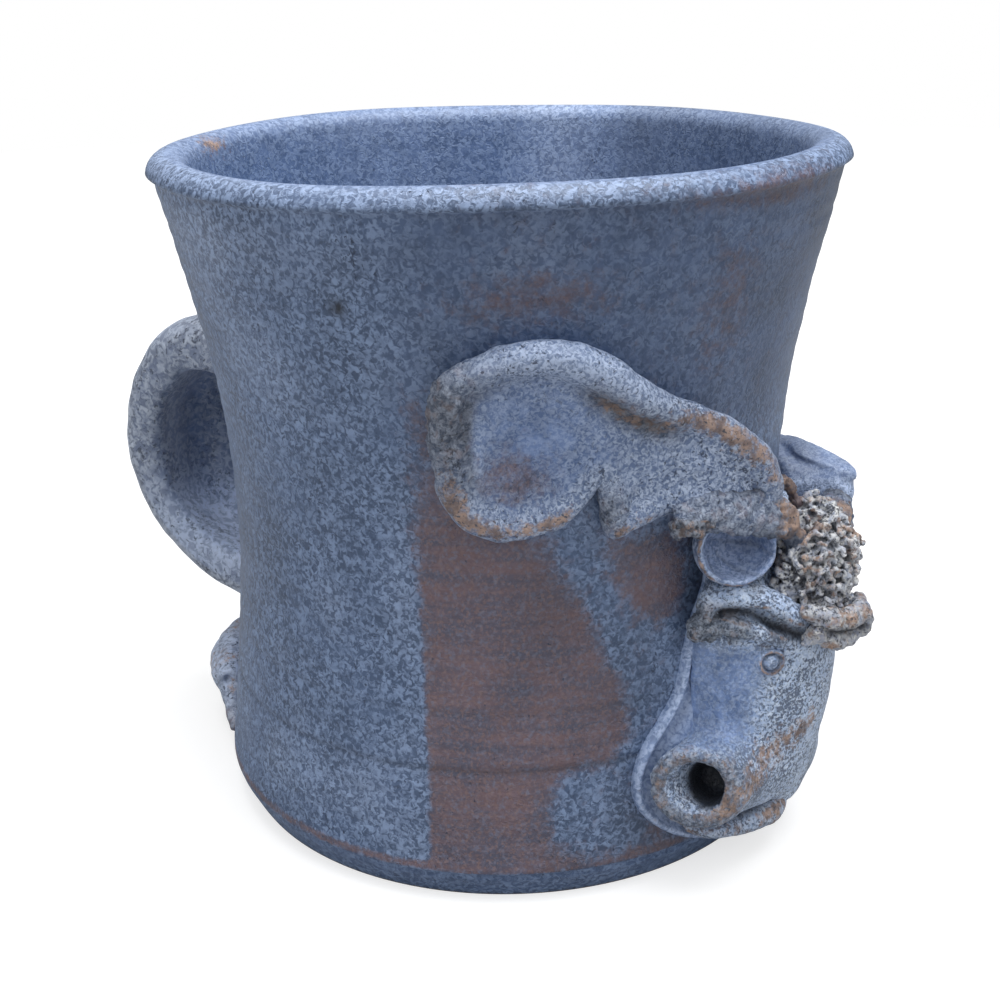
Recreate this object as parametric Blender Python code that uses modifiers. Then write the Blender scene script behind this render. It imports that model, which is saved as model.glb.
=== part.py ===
"""Stoneware mug with a moose's head in relief, built from the potter's separate pieces of clay.

Metres, +Z up. The origin is on the cup's axis at its underside. The head faces -Y, its right side is at -X,
and the handle is behind it. Sizes are named below, in millimetres times MM.
"""

import math

import bmesh
import bpy
from mathutils import Matrix, Vector

MM = 0.001

# Seams between pieces of clay
SEAM = 0.3 * MM

# Cup
CUP_HEIGHT = 99.1 * MM
LIP_RADIUS = 50.0 * MM
LIP_ROLL = 3.0 * MM
LIP_NECK_RADIUS = 49.0 * MM
SHOULDER_HEIGHT = 65.4 * MM
SHOULDER_RADIUS = 43.0 * MM
WAIST_HEIGHT = 41.6 * MM
WAIST_RADIUS = 41.95 * MM
HIP_HEIGHT = 17.8 * MM
HIP_RADIUS = 44.2 * MM
FOOT_EDGE_HEIGHT = 5.0 * MM
FOOT_EDGE_RADIUS = 45.9 * MM
FOOT_RADIUS = 43.8 * MM
WALL = 5.0 * MM
FLOOR = 6.5 * MM
INSIDE_CORNER = 9.0 * MM
CUP_STEPS = 56

# Handle, in the upright plane through the axis: distance from the axis, height, thickness
HANDLE_AZIMUTH = math.radians(-169)
HANDLE_TOP = 63.2 * MM
HANDLE_BOTTOM = 25.0 * MM
HANDLE_REACH = 65.3 * MM
HANDLE_WIDTH = 19.0 * MM
HANDLE_WIDTH_LOW = 17.0 * MM
HANDLE_THICKNESS = 9.6 * MM

# Rolled tail under the handle
SCROLL_HEIGHT = 9.4 * MM
SCROLL_RADIUS = 6.2 * MM
SCROLL_CLAY = 2.9 * MM
SCROLL_WIDTH = 36.0 * MM
SCROLL_TAIL = 5.0 * MM
SCROLL_SUNK = 1.0 * MM

# Head: it hangs on the wall, its chin tipped towards its own right
HEAD_HEIGHT = 28.0 * MM
HEAD_TILT = math.radians(12)
WRAP_RADIUS = 44.0 * MM
CHIN_CLEAR = 0.8 * MM
CHIN_SOFTNESS = 2.0 * MM
PLAQUE_CLAY = 1.7 * MM
PLAQUE_EDGE_FALL = 0.35 * MM
HEAD_BACK = SEAM + PLAQUE_CLAY + SEAM
FACE_HALF_WIDTH = 15.0 * MM
FACE_DEPTH = 9.6 * MM
FACE_ROUND = 2.0
FACE_EDGE = 0.6 * MM

# Muzzle roll and nostrils
MUZZLE_UP = -14.6 * MM
MUZZLE_MIDDLE_OUT = 46.6 * MM
MUZZLE_RADIUS = 6.1 * MM
MUZZLE_RIGHT_REACH = 19.2 * MM
MUZZLE_RIGHT_OUT = 46.9 * MM
MUZZLE_LEFT_REACH = 15.6 * MM
MUZZLE_LEFT_OUT = 44.8 * MM
MUZZLE_LEFT_TAPER = 0.86
MUZZLE_END_TURN = math.radians(27)
NOSTRIL_RADIUS = 3.2 * MM
NOSTRIL_DEPTH = 6.0 * MM
NOSTRIL_CLAY = 0.9 * MM
NOSTRIL_RAISE = 0.3 * MM
MUZZLE_SEAT_SOFTNESS = 1.0 * MM

# Lower lip
JAW_TOP = -21.0 * MM
JAW_DROP = 4.6 * MM
JAW_HALF_WIDTH = 12.6 * MM
JAW_SHIFT = 1.6 * MM
JAW_DEPTH = 3.5 * MM
JAW_EDGE = 0.4 * MM
JAW_BOW = 0.9 * MM

# Eyes and brows
EYE_ACROSS = 9.4 * MM
EYE_UP = 2.6 * MM
EYE_RADIUS = 1.8 * MM
EYE_SEAT = 1.2 * MM
SOCKET_TOP = 3.0 * MM
BROW_RADIUS = 2.3 * MM

# Ears
EAR_CLAY = 1.7 * MM
EAR_LENGTH = 16.0 * MM
EAR_HALF_HEIGHT = 5.4 * MM
EAR_CUP = 5.0 * MM
EAR_ROOT_ACROSS = 8.0 * MM
EAR_UP = 18.7 * MM
EAR_ENDS_RAISED = 6.0 * MM
EAR_OUT = 46.9 * MM
EAR_TIP_BACK = 2.9 * MM

# Antlers
ANTLER_RIM = 1.8 * MM
ANTLER_PALM = 2.1 * MM
ANTLER_BACK_CURL = 1.6 * MM
RIGHT_ANTLER_LIFT = 4.6 * MM
RIGHT_ANTLER_LANDS = 27.0 * MM
LEFT_ANTLER_LIFT = 8.8 * MM
LEFT_ANTLER_LANDS = 42.0 * MM
LEFT_ANTLER_PITCH = 0.9
LEFT_ANTLER_TUCK = 0.2
LEFT_DROOP = math.radians(17)
LEFT_DROP = 3.2 * MM

# Forelock
STRAND_RADIUS = 0.85 * MM
STRAND_WAVE = 0.35 * MM
LOOP_RADIUS = 1.75 * MM
TANGLE_CURLS = 14
TANGLE_CENTRE = (0.0, 16.0 * MM, 51.0 * MM)
TANGLE_SIZE = (7.4 * MM, 9.4 * MM, 5.9 * MM)
CURL_CENTRE = (1.0 * MM, 8.7 * MM, 55.7 * MM)
CURL_SIZE = (7.8 * MM, 3.2 * MM, 3.2 * MM)
CURL_LOOPS = [(-5.0, 0.4, 2.0), (-1.5, -0.6, 2.4), (2.2, -0.2, 2.2), (5.6, 0.4, 1.2)]


def clear_scene():
    for item in list(bpy.data.objects):
        bpy.data.objects.remove(item, do_unlink=True)


def new_collection(name):
    made = bpy.data.collections.new(name)
    bpy.context.scene.collection.children.link(made)
    return made


def clay(name, colour, roughness):
    """A fired clay or glaze surface."""
    made = bpy.data.materials.new(name)
    made.use_nodes = True
    shader = made.node_tree.nodes["Principled BSDF"]
    shader.inputs["Base Color"].default_value = (*colour, 1.0)
    shader.inputs["Roughness"].default_value = roughness
    shader.inputs["Metallic"].default_value = 0.0
    return made


def smooth_through(points, at):
    """The values of a smooth curve through points, each (place, value, value...), at one place."""
    last = len(points) - 2
    low = max(0, min(last, sum(1 for p in points[1:-1] if p[0] <= at)))
    a, b = points[low], points[low + 1]
    before = points[low - 1] if low else a
    after = points[low + 2] if low < last else b
    span = b[0] - a[0]
    t = (at - a[0]) / span
    values = []
    for k in range(1, len(a)):
        start = (b[k] - before[k]) / (b[0] - before[0]) * span
        end = (after[k] - a[k]) / (after[0] - a[0]) * span
        values.append(
            (2 * t**3 - 3 * t**2 + 1) * a[k]
            + (t**3 - 2 * t**2 + t) * start
            + (3 * t**2 - 2 * t**3) * b[k]
            + (t**3 - t**2) * end
        )
    return values if len(values) > 1 else values[0]


WALL_CURVE = [
    (FOOT_EDGE_HEIGHT, FOOT_EDGE_RADIUS),
    (HIP_HEIGHT, HIP_RADIUS),
    (WAIST_HEIGHT, WAIST_RADIUS),
    (SHOULDER_HEIGHT, SHOULDER_RADIUS),
    (CUP_HEIGHT - LIP_ROLL, LIP_NECK_RADIUS),
]


def wall_radius(height):
    """The outside of the cup's wall."""
    top = WALL_CURVE[-1][0]
    return smooth_through(WALL_CURVE, max(FOOT_EDGE_HEIGHT, min(top, height)))


def kept_over(floor, value, softness):
    """A value pressed smoothly so that it stays over a floor."""
    over = value - floor
    return floor + (over + math.hypot(over, softness)) / 2


def lifted(height):
    """A height on the wall, with what would reach the table pressed up off it."""
    return kept_over(CHIN_CLEAR, height, CHIN_SOFTNESS)


def tipped(across, up):
    """Head directions to level ones: how far to the right side, and the height."""
    level = across * math.cos(HEAD_TILT) - up * math.sin(HEAD_TILT)
    rise = across * math.sin(HEAD_TILT) + up * math.cos(HEAD_TILT)
    return level, lifted(HEAD_HEIGHT + rise)


def on_wall(across, up, out):
    """A point of a slab that is wrapped round the cup, out from its wall."""
    level, height = tipped(across, up)
    angle = level / WRAP_RADIUS
    radius = wall_radius(height) + out
    return Vector((-radius * math.sin(angle), -radius * math.cos(angle), height))


def at_head(across, up, forward):
    """A point of the head's own block, forward from the cup's axis."""
    level, height = tipped(across, up)
    return Vector((-level, -forward, height))


def seat(across, up, out):
    """How far forward the cup's wall, thickened by out, lies at a point of the head."""
    level, height = tipped(across, up)
    radius = wall_radius(height) + out
    return math.sqrt(max(radius**2 - level**2, MM**2))


def put(mesh, name, finish, into):
    made = bpy.data.objects.new(name, mesh)
    into.objects.link(made)
    if finish:
        mesh.materials.append(finish)
    else:
        made.hide_render = True
        made.display_type = "WIRE"
    return made


def rounded(made, angle=50):
    made.data.shade_smooth()
    made.data.set_sharp_from_angle(angle=math.radians(angle))
    return made


def flat_faced(mesh, name):
    """Mesh data with outward faces, each one flat so that cuts through it stay clean."""
    bmesh.ops.triangulate(mesh, faces=mesh.faces)
    bmesh.ops.recalc_face_normals(mesh, faces=mesh.faces)
    data = bpy.data.meshes.new(name)
    mesh.to_mesh(data)
    mesh.free()
    return data


def loft(name, rings, finish, into):
    """A closed solid through rings of evenly many points. A ring's second half runs back beside its first."""
    count = len(rings[0])
    mesh = bmesh.new()
    rows = [[mesh.verts.new(point) for point in ring] for ring in rings]
    for ring, following in zip(rows, rows[1:]):
        for k in range(count):
            j = (k + 1) % count
            mesh.faces.new((ring[k], ring[j], following[j], following[k]))
    for ring in (rows[0], rows[-1]):
        for k in range(count // 2 - 1):
            mesh.faces.new((ring[k], ring[k + 1], ring[count - 2 - k], ring[count - 1 - k]))
    return rounded(put(flat_faced(mesh, name), name, finish, into))


def spread(count):
    """Places from -1 to 1, closer together near the ends."""
    return [-math.cos(math.pi * k / (count - 1)) for k in range(count)]


def oval(count):
    """Points of a unit circle, none on its two ends, in a loft's order."""
    return [
        (math.cos(2 * math.pi * (k + 0.5) / count), math.sin(2 * math.pi * (k + 0.5) / count))
        for k in range(count)
    ]


def turned(name, profile, steps, finish, into):
    """A solid of revolution about Z from (radius, height) points."""
    data = bpy.data.meshes.new(name)
    edges = [(k, k + 1) for k in range(len(profile) - 1)]
    data.from_pydata([(radius, 0.0, height) for radius, height in profile], edges, [])
    made = put(data, name, finish, into)
    screw = made.modifiers.new("Turn", "SCREW")
    screw.steps = screw.render_steps = steps
    screw.use_merge_vertices = True
    screw.merge_threshold = 0.01 * MM
    screw.use_smooth_shade = True
    return made


def trim(made, cutter, operation="DIFFERENCE"):
    boolean = made.modifiers.new("Trim", "BOOLEAN")
    boolean.operation = operation
    boolean.solver = "EXACT"
    boolean.object = cutter


def arc(centre, radius, start, end, count):
    """Points of an arc from start to end, in degrees."""
    turn = [math.radians(start + (end - start) * k / (count - 1)) for k in range(count)]
    return [(centre[0] + radius * math.cos(a), centre[1] + radius * math.sin(a)) for a in turn]


def cup_profile():
    """From the middle of the floor up the inside, over the lip and down the outside."""
    lip_centre = (LIP_RADIUS - LIP_ROLL, CUP_HEIGHT - LIP_ROLL)
    corner_height = FLOOR + INSIDE_CORNER
    corner_radius = wall_radius(corner_height) - WALL - INSIDE_CORNER
    inside = [(0.0, FLOOR)]
    inside += arc((corner_radius, corner_height), INSIDE_CORNER, -90, 0, 4)
    steps = 6
    neck = lip_centre[1] - LIP_ROLL
    for k in range(1, steps + 1):
        height = corner_height + (neck - corner_height) * k / steps
        inside.append((wall_radius(height) - WALL, height))
    outside = []
    for k in range(1, steps + 3):
        height = lip_centre[1] - (lip_centre[1] - FOOT_EDGE_HEIGHT) * k / (steps + 2)
        outside.append((wall_radius(height), height))
    return inside + arc(lip_centre, LIP_ROLL, 170, 0, 7) + outside + [(FOOT_RADIUS, 0.0), (0.0, 0.0)]


def wall_cutter(into):
    """The cup's outside with the seam added, which trims what is luted to the wall."""
    steps = 14
    top = CUP_HEIGHT
    heights = [top - (top + SEAM) * k / steps for k in range(steps + 1)]
    profile = [(0.0, top)] + [(wall_radius(h) + SEAM, h) for h in heights] + [(0.0, -SEAM)]
    return turned("wall_cutter", profile, CUP_STEPS, None, into)


def handle_strap(finish, into, cutter):
    """A pulled strap that leaves the wall level, turns down and comes back to it."""
    inside_wall = WAIST_RADIUS - WALL / 2
    middle = (HANDLE_TOP + HANDLE_BOTTOM) / 2
    drop = HANDLE_TOP - HANDLE_BOTTOM
    bow = HANDLE_REACH - WAIST_RADIUS
    line = [
        (0.0, inside_wall, HANDLE_TOP),
        (0.2, WAIST_RADIUS + 0.5 * bow, HANDLE_TOP),
        (0.35, WAIST_RADIUS + 0.86 * bow, middle + 0.28 * drop),
        (0.5, HANDLE_REACH, middle + 0.04 * drop),
        (0.65, WAIST_RADIUS + 0.86 * bow, middle - 0.26 * drop),
        (0.8, WAIST_RADIUS + 0.48 * bow, middle - 0.46 * drop),
        (1.0, inside_wall, HANDLE_BOTTOM - 0.03 * drop),
    ]
    out = Vector((math.sin(HANDLE_AZIMUTH), -math.cos(HANDLE_AZIMUTH), 0.0))
    side = Vector((0.0, 0.0, 1.0)).cross(out)
    stations = 21
    rings = []
    for k in range(stations):
        t = k / (stations - 1)
        here = smooth_through(line, t)
        ahead = smooth_through(line, min(1.0, t + 0.01))
        behind = smooth_through(line, max(0.0, t - 0.01))
        run = Vector((ahead[0] - behind[0], ahead[1] - behind[1])).normalized()
        width = HANDLE_WIDTH + (HANDLE_WIDTH_LOW - HANDLE_WIDTH) * t
        ring = []
        for c, s in oval(14):
            across = side * (width / 2 * math.copysign(abs(c) ** 0.7, c))
            thick = HANDLE_THICKNESS / 2 * math.copysign(abs(s) ** 0.7, s)
            ring.append(out * (here[0] - run[1] * thick) + across + Vector((0, 0, here[1] + run[0] * thick)))
        rings.append(ring)
    made = loft("handle_strap", rings, finish, into)
    trim(made, cutter)
    return made


def handle_scroll(finish, into, cutter):
    """A strip of clay that runs down the wall and rolls up on itself, thinner towards its two ends."""
    outer = SCROLL_RADIUS - SCROLL_CLAY / 2
    inner = SCROLL_CLAY * 0.64
    line = [(-outer, SCROLL_TAIL), (-outer, SCROLL_TAIL / 2)]
    turns = 12
    for k in range(turns + 1):
        angle = math.pi + math.radians(300) * k / turns
        radius = outer + (inner - outer) * (k / turns) ** 1.15
        line.append((radius * math.cos(angle), radius * math.sin(angle)))
    rings = []
    for place in spread(9):
        taper = 1.0 - 0.55 * abs(place) ** 2.2
        azimuth = HANDLE_AZIMUTH + SCROLL_WIDTH / 2 * place / FOOT_EDGE_RADIUS
        out = Vector((math.sin(azimuth), -math.cos(azimuth), 0.0))
        middle = wall_radius(SCROLL_HEIGHT) + SCROLL_RADIUS * taper - SCROLL_SUNK
        left, right = [], []
        for k, point in enumerate(line):
            ahead, behind = line[min(k + 1, len(line) - 1)], line[max(k - 1, 0)]
            run = Vector((ahead[0] - behind[0], ahead[1] - behind[1])).normalized()
            for edge, half in ((left, SCROLL_CLAY / 2), (right, -SCROLL_CLAY / 2)):
                radius = middle + (point[0] - run[1] * half) * taper
                height = SCROLL_HEIGHT + (point[1] + run[0] * half) * taper
                edge.append(out * radius + Vector((0, 0, height)))
        rings.append(left + right[::-1])
    made = loft("handle_scroll", rings, finish, into)
    trim(made, cutter)
    return made


PLAQUE_OUTLINE = [
    (-26.2, 4.0),
    (-25.0, 11.8),
    (-22.6, 17.0),
    (-19.9, 20.0),
    (-17.0, 21.1),
    (-13.7, 21.0),
    (-10.3, 19.9),
    (-6.2, 17.6),
    (-2.7, 16.0),
    (2.2, 15.4),
    (7.1, 14.6),
    (11.3, 13.4),
    (18.0, 13.2),
    (22.4, 11.6),
    (24.6, 7.0),
]


def head_plaque(finish, into):
    """The thin backing slab, cut to the head's outline a little oversize."""
    first, last = PLAQUE_OUTLINE[0][0], PLAQUE_OUTLINE[-1][0]
    rings = []
    for place in spread(20):
        up = first + (last - first) * (place + 1) / 2
        half = smooth_through(PLAQUE_OUTLINE, up) * MM
        front, back = [], []
        for t in spread(9):
            edge = PLAQUE_EDGE_FALL * abs(t) ** 8
            front.append(on_wall(half * t, up * MM, SEAM + PLAQUE_CLAY - edge))
            back.append(on_wall(half * t, up * MM, SEAM))
        rings.append(front + back[::-1])
    return loft("head_plaque", rings, finish, into)


# Up the head, half width over FACE_HALF_WIDTH, depth over FACE_DEPTH
FACE_SECTIONS = [
    (-19.5, 0.78, 0.4),
    (-14.0, 0.9, 0.7),
    (-9.5, 0.96, 0.86),
    (-4.5, 0.98, 0.96),
    (1.0, 1.0, 1.0),
    (6.0, 0.98, 1.02),
    (10.0, 0.95, 0.86),
    (14.0, 0.91, 0.46),
    (18.0, 0.86, 0.22),
    (21.4, 0.76, 0.18),
    (23.8, 0.4, 0.12),
]


def face_block(name, finish, into, grow=0.0):
    """Skull, cheeks, nose bridge and the low crown that carries the antlers."""
    first, last = FACE_SECTIONS[0][0], FACE_SECTIONS[-1][0]
    rings = []
    for place in spread(20):
        share = (place + 1) / 2
        up = first + (last - first) * share
        half, depth = smooth_through(FACE_SECTIONS, up)
        level = up * MM + grow * (2 * share - 1)
        rise = depth * FACE_DEPTH + grow
        front, back = [], []
        for t in spread(12):
            across = (half * FACE_HALF_WIDTH + grow) * t
            bulge = (1 - abs(t) ** FACE_ROUND) ** (1 / FACE_ROUND)
            rear = seat(across, level, HEAD_BACK - grow)
            front.append(at_head(across, level, rear + grow + rise * bulge + FACE_EDGE))
            back.append(at_head(across, level, rear))
        rings.append(front + back[::-1])
    return loft(name, rings, finish, into)


def muzzle_reach(place):
    """How far to the right side a place along the muzzle lies, from -1 at its left end to 1 at its right."""
    return place * (MUZZLE_RIGHT_REACH if place > 0 else MUZZLE_LEFT_REACH)


def muzzle_out(place):
    """How far forward the muzzle's axis lies: its left end is pressed closer to the wall."""
    end = MUZZLE_RIGHT_OUT if place > 0 else MUZZLE_LEFT_OUT
    return MUZZLE_MIDDLE_OUT + (end - MUZZLE_MIDDLE_OUT) * place**2


def muzzle_radius(place):
    taper = MUZZLE_LEFT_TAPER if place < 0 else 1.0
    return MUZZLE_RADIUS * (1 + (taper - 1) * place**2)


def muzzle_roll(name, finish, into, grow=0.0):
    """The thick roll of clay across the nose, its ends cut nearly square."""
    rings = []
    for place in [-1.0, -0.96, -0.8, -0.55, -0.28, 0.0, 0.28, 0.55, 0.8, 0.96, 1.0]:
        radius = muzzle_radius(place) * (0.91 if abs(place) > 0.99 else 1.0)
        turn = math.tan(MUZZLE_END_TURN) * math.copysign(place**4, place)
        ring = []
        for c, s in oval(20):
            up = MUZZLE_UP + (radius + grow) * s
            rear = seat(muzzle_reach(place), up, HEAD_BACK - grow)
            out = kept_over(rear, muzzle_out(place) + (radius + grow) * c, MUZZLE_SEAT_SOFTNESS)
            across = muzzle_reach(place) + grow * place - turn * (out - muzzle_out(place))
            ring.append(at_head(across, up, out))
        rings.append(ring)
    return loft(name, rings, finish, into)


def nostril_cutter(side, into):
    """A thumb-pressed hole in the end of the muzzle roll, narrower inside."""
    rings = []
    mouth = NOSTRIL_RADIUS * muzzle_radius(side) / MUZZLE_RADIUS
    for share, narrow in ((-0.6, 1.06), (0.0, 1.0), (0.3, 0.88), (0.75, 0.78), (1.0, 0.4)):
        across = abs(muzzle_reach(side)) - share * NOSTRIL_DEPTH
        radius = mouth * narrow
        rear = seat(across, MUZZLE_UP, HEAD_BACK)
        middle = max(muzzle_out(side), rear + radius + NOSTRIL_CLAY)
        ring = []
        for c, s in oval(16):
            ring.append(at_head(side * across, MUZZLE_UP + NOSTRIL_RAISE + radius * s, middle + radius * c))
        rings.append(ring)
    return loft("nostril_cutter", rings, None, into)


def face_forward(across, up):
    """How far forward the face's surface lies."""
    half, depth = smooth_through(FACE_SECTIONS, up / MM)
    t = min(1.0, abs(across) / (half * FACE_HALF_WIDTH))
    bulge = (1 - t**FACE_ROUND) ** (1 / FACE_ROUND)
    return seat(across, up, HEAD_BACK) + depth * FACE_DEPTH * bulge + FACE_EDGE


def eye_frame(side):
    """Where an eye pellet sits: its matrix, +Z out of the face."""
    across, step = side * EYE_ACROSS, 0.2 * MM
    here = at_head(across, EYE_UP, face_forward(across, EYE_UP))
    over = at_head(across + step, EYE_UP, face_forward(across + step, EYE_UP)) - here
    above = at_head(across, EYE_UP + step, face_forward(across, EYE_UP + step)) - here
    out = above.cross(over).normalized()
    if out.y > 0:
        out.negate()
    right = above.cross(out).normalized()
    turn = Matrix((right, out.cross(right), out)).transposed()
    return Matrix.Translation(here) @ turn.to_4x4()


def eye_pellet(name, side, finish, into):
    """A pellet pressed with a ring stamp: a flat pupil, a groove and a rim."""
    r = EYE_RADIUS
    pupil = [(0.0, 0.15), (0.3, 0.15)]
    rim = [(0.42, -0.12), (0.56, -0.12), (0.72, 0.28), (0.88, 0.28), (1.0, 0.02)]
    points = [(a * r, h * r) for a, h in pupil + rim]
    points += [(r, -EYE_SEAT), (0.0, -EYE_SEAT)]
    made = turned(name, points, 20, finish, into)
    made.matrix_world = eye_frame(side)
    return made


def eye_socket(side, into):
    r, deep = EYE_RADIUS + SEAM, EYE_SEAT + SEAM
    made = turned("eye_socket", [(0.0, SOCKET_TOP), (r, SOCKET_TOP), (r, -deep), (0.0, -deep)], 20, None, into)
    made.matrix_world = eye_frame(side)
    return made


def moose_head(finish, into, cutters):
    made = face_block("moose_head", finish, into)
    trim(made, muzzle_roll("muzzle_part", None, cutters), "UNION")
    for side in (1, -1):
        trim(made, nostril_cutter(side, cutters))
        trim(made, eye_socket(side, cutters))
    return made


def lower_jaw(finish, into):
    """The lower lip, a crescent of clay under the muzzle."""
    rings = []
    for place in spread(13):
        across = JAW_SHIFT + JAW_HALF_WIDTH * place
        round_off = (1 - abs(place) ** 3.0) ** (1 / 3.0)
        high = JAW_TOP - JAW_BOW * place**2
        low = JAW_TOP - JAW_DROP * (0.35 + 0.65 * round_off)
        front, back = [], []
        for t in spread(7):
            up = (high + low) / 2 + (high - low) / 2 * t
            rear = seat(across, up, HEAD_BACK)
            bulge = (1 - abs(t) ** 2.6) ** (1 / 2.6)
            rise = JAW_DEPTH * (0.25 + 0.75 * round_off) * bulge
            front.append(at_head(across, up, rear + JAW_EDGE + rise))
            back.append(at_head(across, up, rear))
        rings.append(front + back[::-1])
    return loft("lower_jaw", rings, finish, into)


# Across, up, and how far the coil's middle stands off the face
BROW_LINE = [
    (14.3, 6.6, 0.6),
    (13.9, 9.6, 1.0),
    (11.4, 11.4, 1.2),
    (8.2, 10.3, 1.0),
    (5.0, 8.6, 0.8),
    (2.2, 7.2, 0.2),
]


def tube(name, points, radii, sides, finish, into):
    """A round coil of clay along points: a curve with a bevel and filled caps, made a mesh."""
    data = bpy.data.curves.new(name, "CURVE")
    data.dimensions = "3D"
    data.bevel_depth = 1.0
    data.bevel_resolution = sides
    data.use_fill_caps = True
    spline = data.splines.new("POLY")
    spline.points.add(len(points) - 1)
    for knot, point, radius in zip(spline.points, points, radii):
        knot.co = (*point, 1.0)
        knot.radius = radius
    guide = bpy.data.objects.new(name + "_line", data)
    into.objects.link(guide)
    shape = bpy.data.meshes.new_from_object(guide.evaluated_get(bpy.context.evaluated_depsgraph_get()))
    bpy.data.objects.remove(guide)
    mesh = bmesh.new()
    mesh.from_mesh(shape)
    bmesh.ops.remove_doubles(mesh, verts=mesh.verts, dist=0.001 * MM)
    return rounded(put(flat_faced(mesh, name), name, finish, into))


def brow(name, side, finish, into, grow=0.0):
    """An arched coil laid over the eye."""
    stations = 15
    points, radii = [], []
    line = [(k / (len(BROW_LINE) - 1), *knot) for k, knot in enumerate(BROW_LINE)]
    for k in range(stations):
        t = k / (stations - 1)
        across, up, off = smooth_through(line, t)
        forward = face_forward(side * across * MM, up * MM)
        points.append(at_head(side * across * MM, up * MM, forward + off * MM))
        radii.append(BROW_RADIUS * (0.5 + 0.5 * math.sin(math.pi * (0.02 + 0.9 * t))) + grow)
    return tube(name, points, radii, 3, finish, into)


def hung(side, across, up):
    """A point of an antler or ear. Those on the left droop about the antler's root and hang lower."""
    if side > 0:
        return across, up
    x, y = across - ANTLER_ROOT[0] * MM, up - ANTLER_ROOT[1] * MM
    c, s = math.cos(LEFT_DROOP), math.sin(LEFT_DROOP)
    return ANTLER_ROOT[0] * MM + x * c + y * s, ANTLER_ROOT[1] * MM - x * s + y * c - LEFT_DROP


def ear_point(side, along, around):
    """The middle of the ear's sheet: along from its root to its tip, around from the lower rim to the upper."""
    half = EAR_HALF_HEIGHT * math.sin(math.pi * (0.13 + 0.78 * along)) ** 0.7
    lift = EAR_CUP * (1 - along) ** 0.55 * (0.55 + 0.45 * math.sin(math.pi * min(1, 0.3 + along)))
    across = EAR_ROOT_ACROSS + EAR_LENGTH * along
    up = EAR_UP + EAR_ENDS_RAISED * (along - 0.45) ** 2 + half * around
    forward = EAR_OUT - EAR_TIP_BACK * along + lift * around**2 * (0.9 if around < 0 else 1.05)
    across, up = hung(side, across, up)
    return at_head(side * across, up, forward)


def ear(name, side, finish, into, grow=0.0):
    """A leaf of clay cupped forwards, with a thick rim."""
    rings = []
    for place in spread(11):
        along = (place + 1) / 2
        front, back = [], []
        for t in spread(9):
            here = ear_point(side, along, t)
            step = 0.02
            tipward, rootward = min(1.0, along + step), max(0.0, along - step)
            over = ear_point(side, tipward, t) - ear_point(side, rootward, t)
            up = ear_point(side, along, min(1.0, t + step)) - ear_point(side, along, max(-1.0, t - step))
            out = over.cross(up).normalized()
            if out.y > 0:
                out.negate()
            half = EAR_CLAY / 2 * (1 - 0.35 * abs(t) ** 6) + grow
            edge = up.normalized() * (grow * t) + over.normalized() * (grow * place)
            front.append(here + edge + out * half)
            back.append(here + edge - out * half)
        rings.append(front + back[::-1])
    return loft(name, rings, finish, into)


# Across, the middle of the slab's height, its half height
ANTLER_OUTLINE = [
    (13.0, 27.1, 1.0),
    (14.6, 27.7, 3.0),
    (19.0, 30.1, 5.3),
    (22.8, 30.0, 7.0),
    (27.9, 29.4, 8.9),
    (34.6, 30.5, 11.1),
    (40.3, 32.0, 12.4),
    (44.9, 31.3, 13.2),
    (48.9, 30.4, 12.7),
    (52.8, 30.0, 10.6),
    (56.0, 30.6, 6.4),
    (57.2, 30.9, 1.6),
]
ANTLER_ROOT = (13.0, 27.0)
NOTCH = [(34.5, 26.4), (33.1, 17.0), (42.5, 16.0), (38.1, 22.4)]


def left_profile(height):
    """How the left antler's lift changes from its lower edge, at -1, to its upper edge, at 1."""
    return 1 - LEFT_ANTLER_PITCH * ((height + 1) / 2) ** 3 - LEFT_ANTLER_TUCK * ((1 - height) / 2) ** 3


def antler_lift(side, across, height):
    """How far the slab's back stands off the wall. The left one leans back to the wall at its upper edge."""
    lands = RIGHT_ANTLER_LANDS if side > 0 else LEFT_ANTLER_LANDS
    most = RIGHT_ANTLER_LIFT if side > 0 else LEFT_ANTLER_LIFT * left_profile(height)
    t = max(0.0, min(1.0, (lands - across) / (lands - ANTLER_ROOT[0] * MM)))
    return SEAM + most * t * t * (3 - 2 * t)


def antler(name, side, finish, into, grow=0.0):
    """A flattened slab that narrows to its root, with its edges turned up."""
    first, last = ANTLER_OUTLINE[0][0], ANTLER_OUTLINE[-1][0]
    rings = []
    for place in spread(22):
        across = first + (last - first) * (place + 1) / 2
        middle, half = smooth_through(ANTLER_OUTLINE, across)
        end = abs(place) ** 10
        front, back = [], []
        for t in spread(11):
            x, y = hung(side, across * MM + place * grow, middle * MM + (half * MM + grow) * t)
            lift = antler_lift(side, across * MM, t)
            rim = ANTLER_RIM * max(abs(t) ** 5, end)
            curl = ANTLER_BACK_CURL * max(abs(t) ** 6, 0.6 * end)
            front.append(on_wall(side * x, y, lift + ANTLER_PALM + rim + grow))
            back.append(on_wall(side * x, y, lift + curl - grow * 0.6))
        rings.append(front + back[::-1])
    return loft(name, rings, finish, into)


def notch_cutter(side, into):
    """The wedge that parts the palm from its brow prong."""
    rings = []
    for out in (-3 * MM, 0.0, 4 * MM, 10 * MM):
        ring = []
        for across, up in NOTCH:
            x, y = hung(side, across * MM, up * MM)
            ring.append(on_wall(side * x, y, out))
        rings.append(ring)
    return loft("notch_cutter", rings, None, into)


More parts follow.
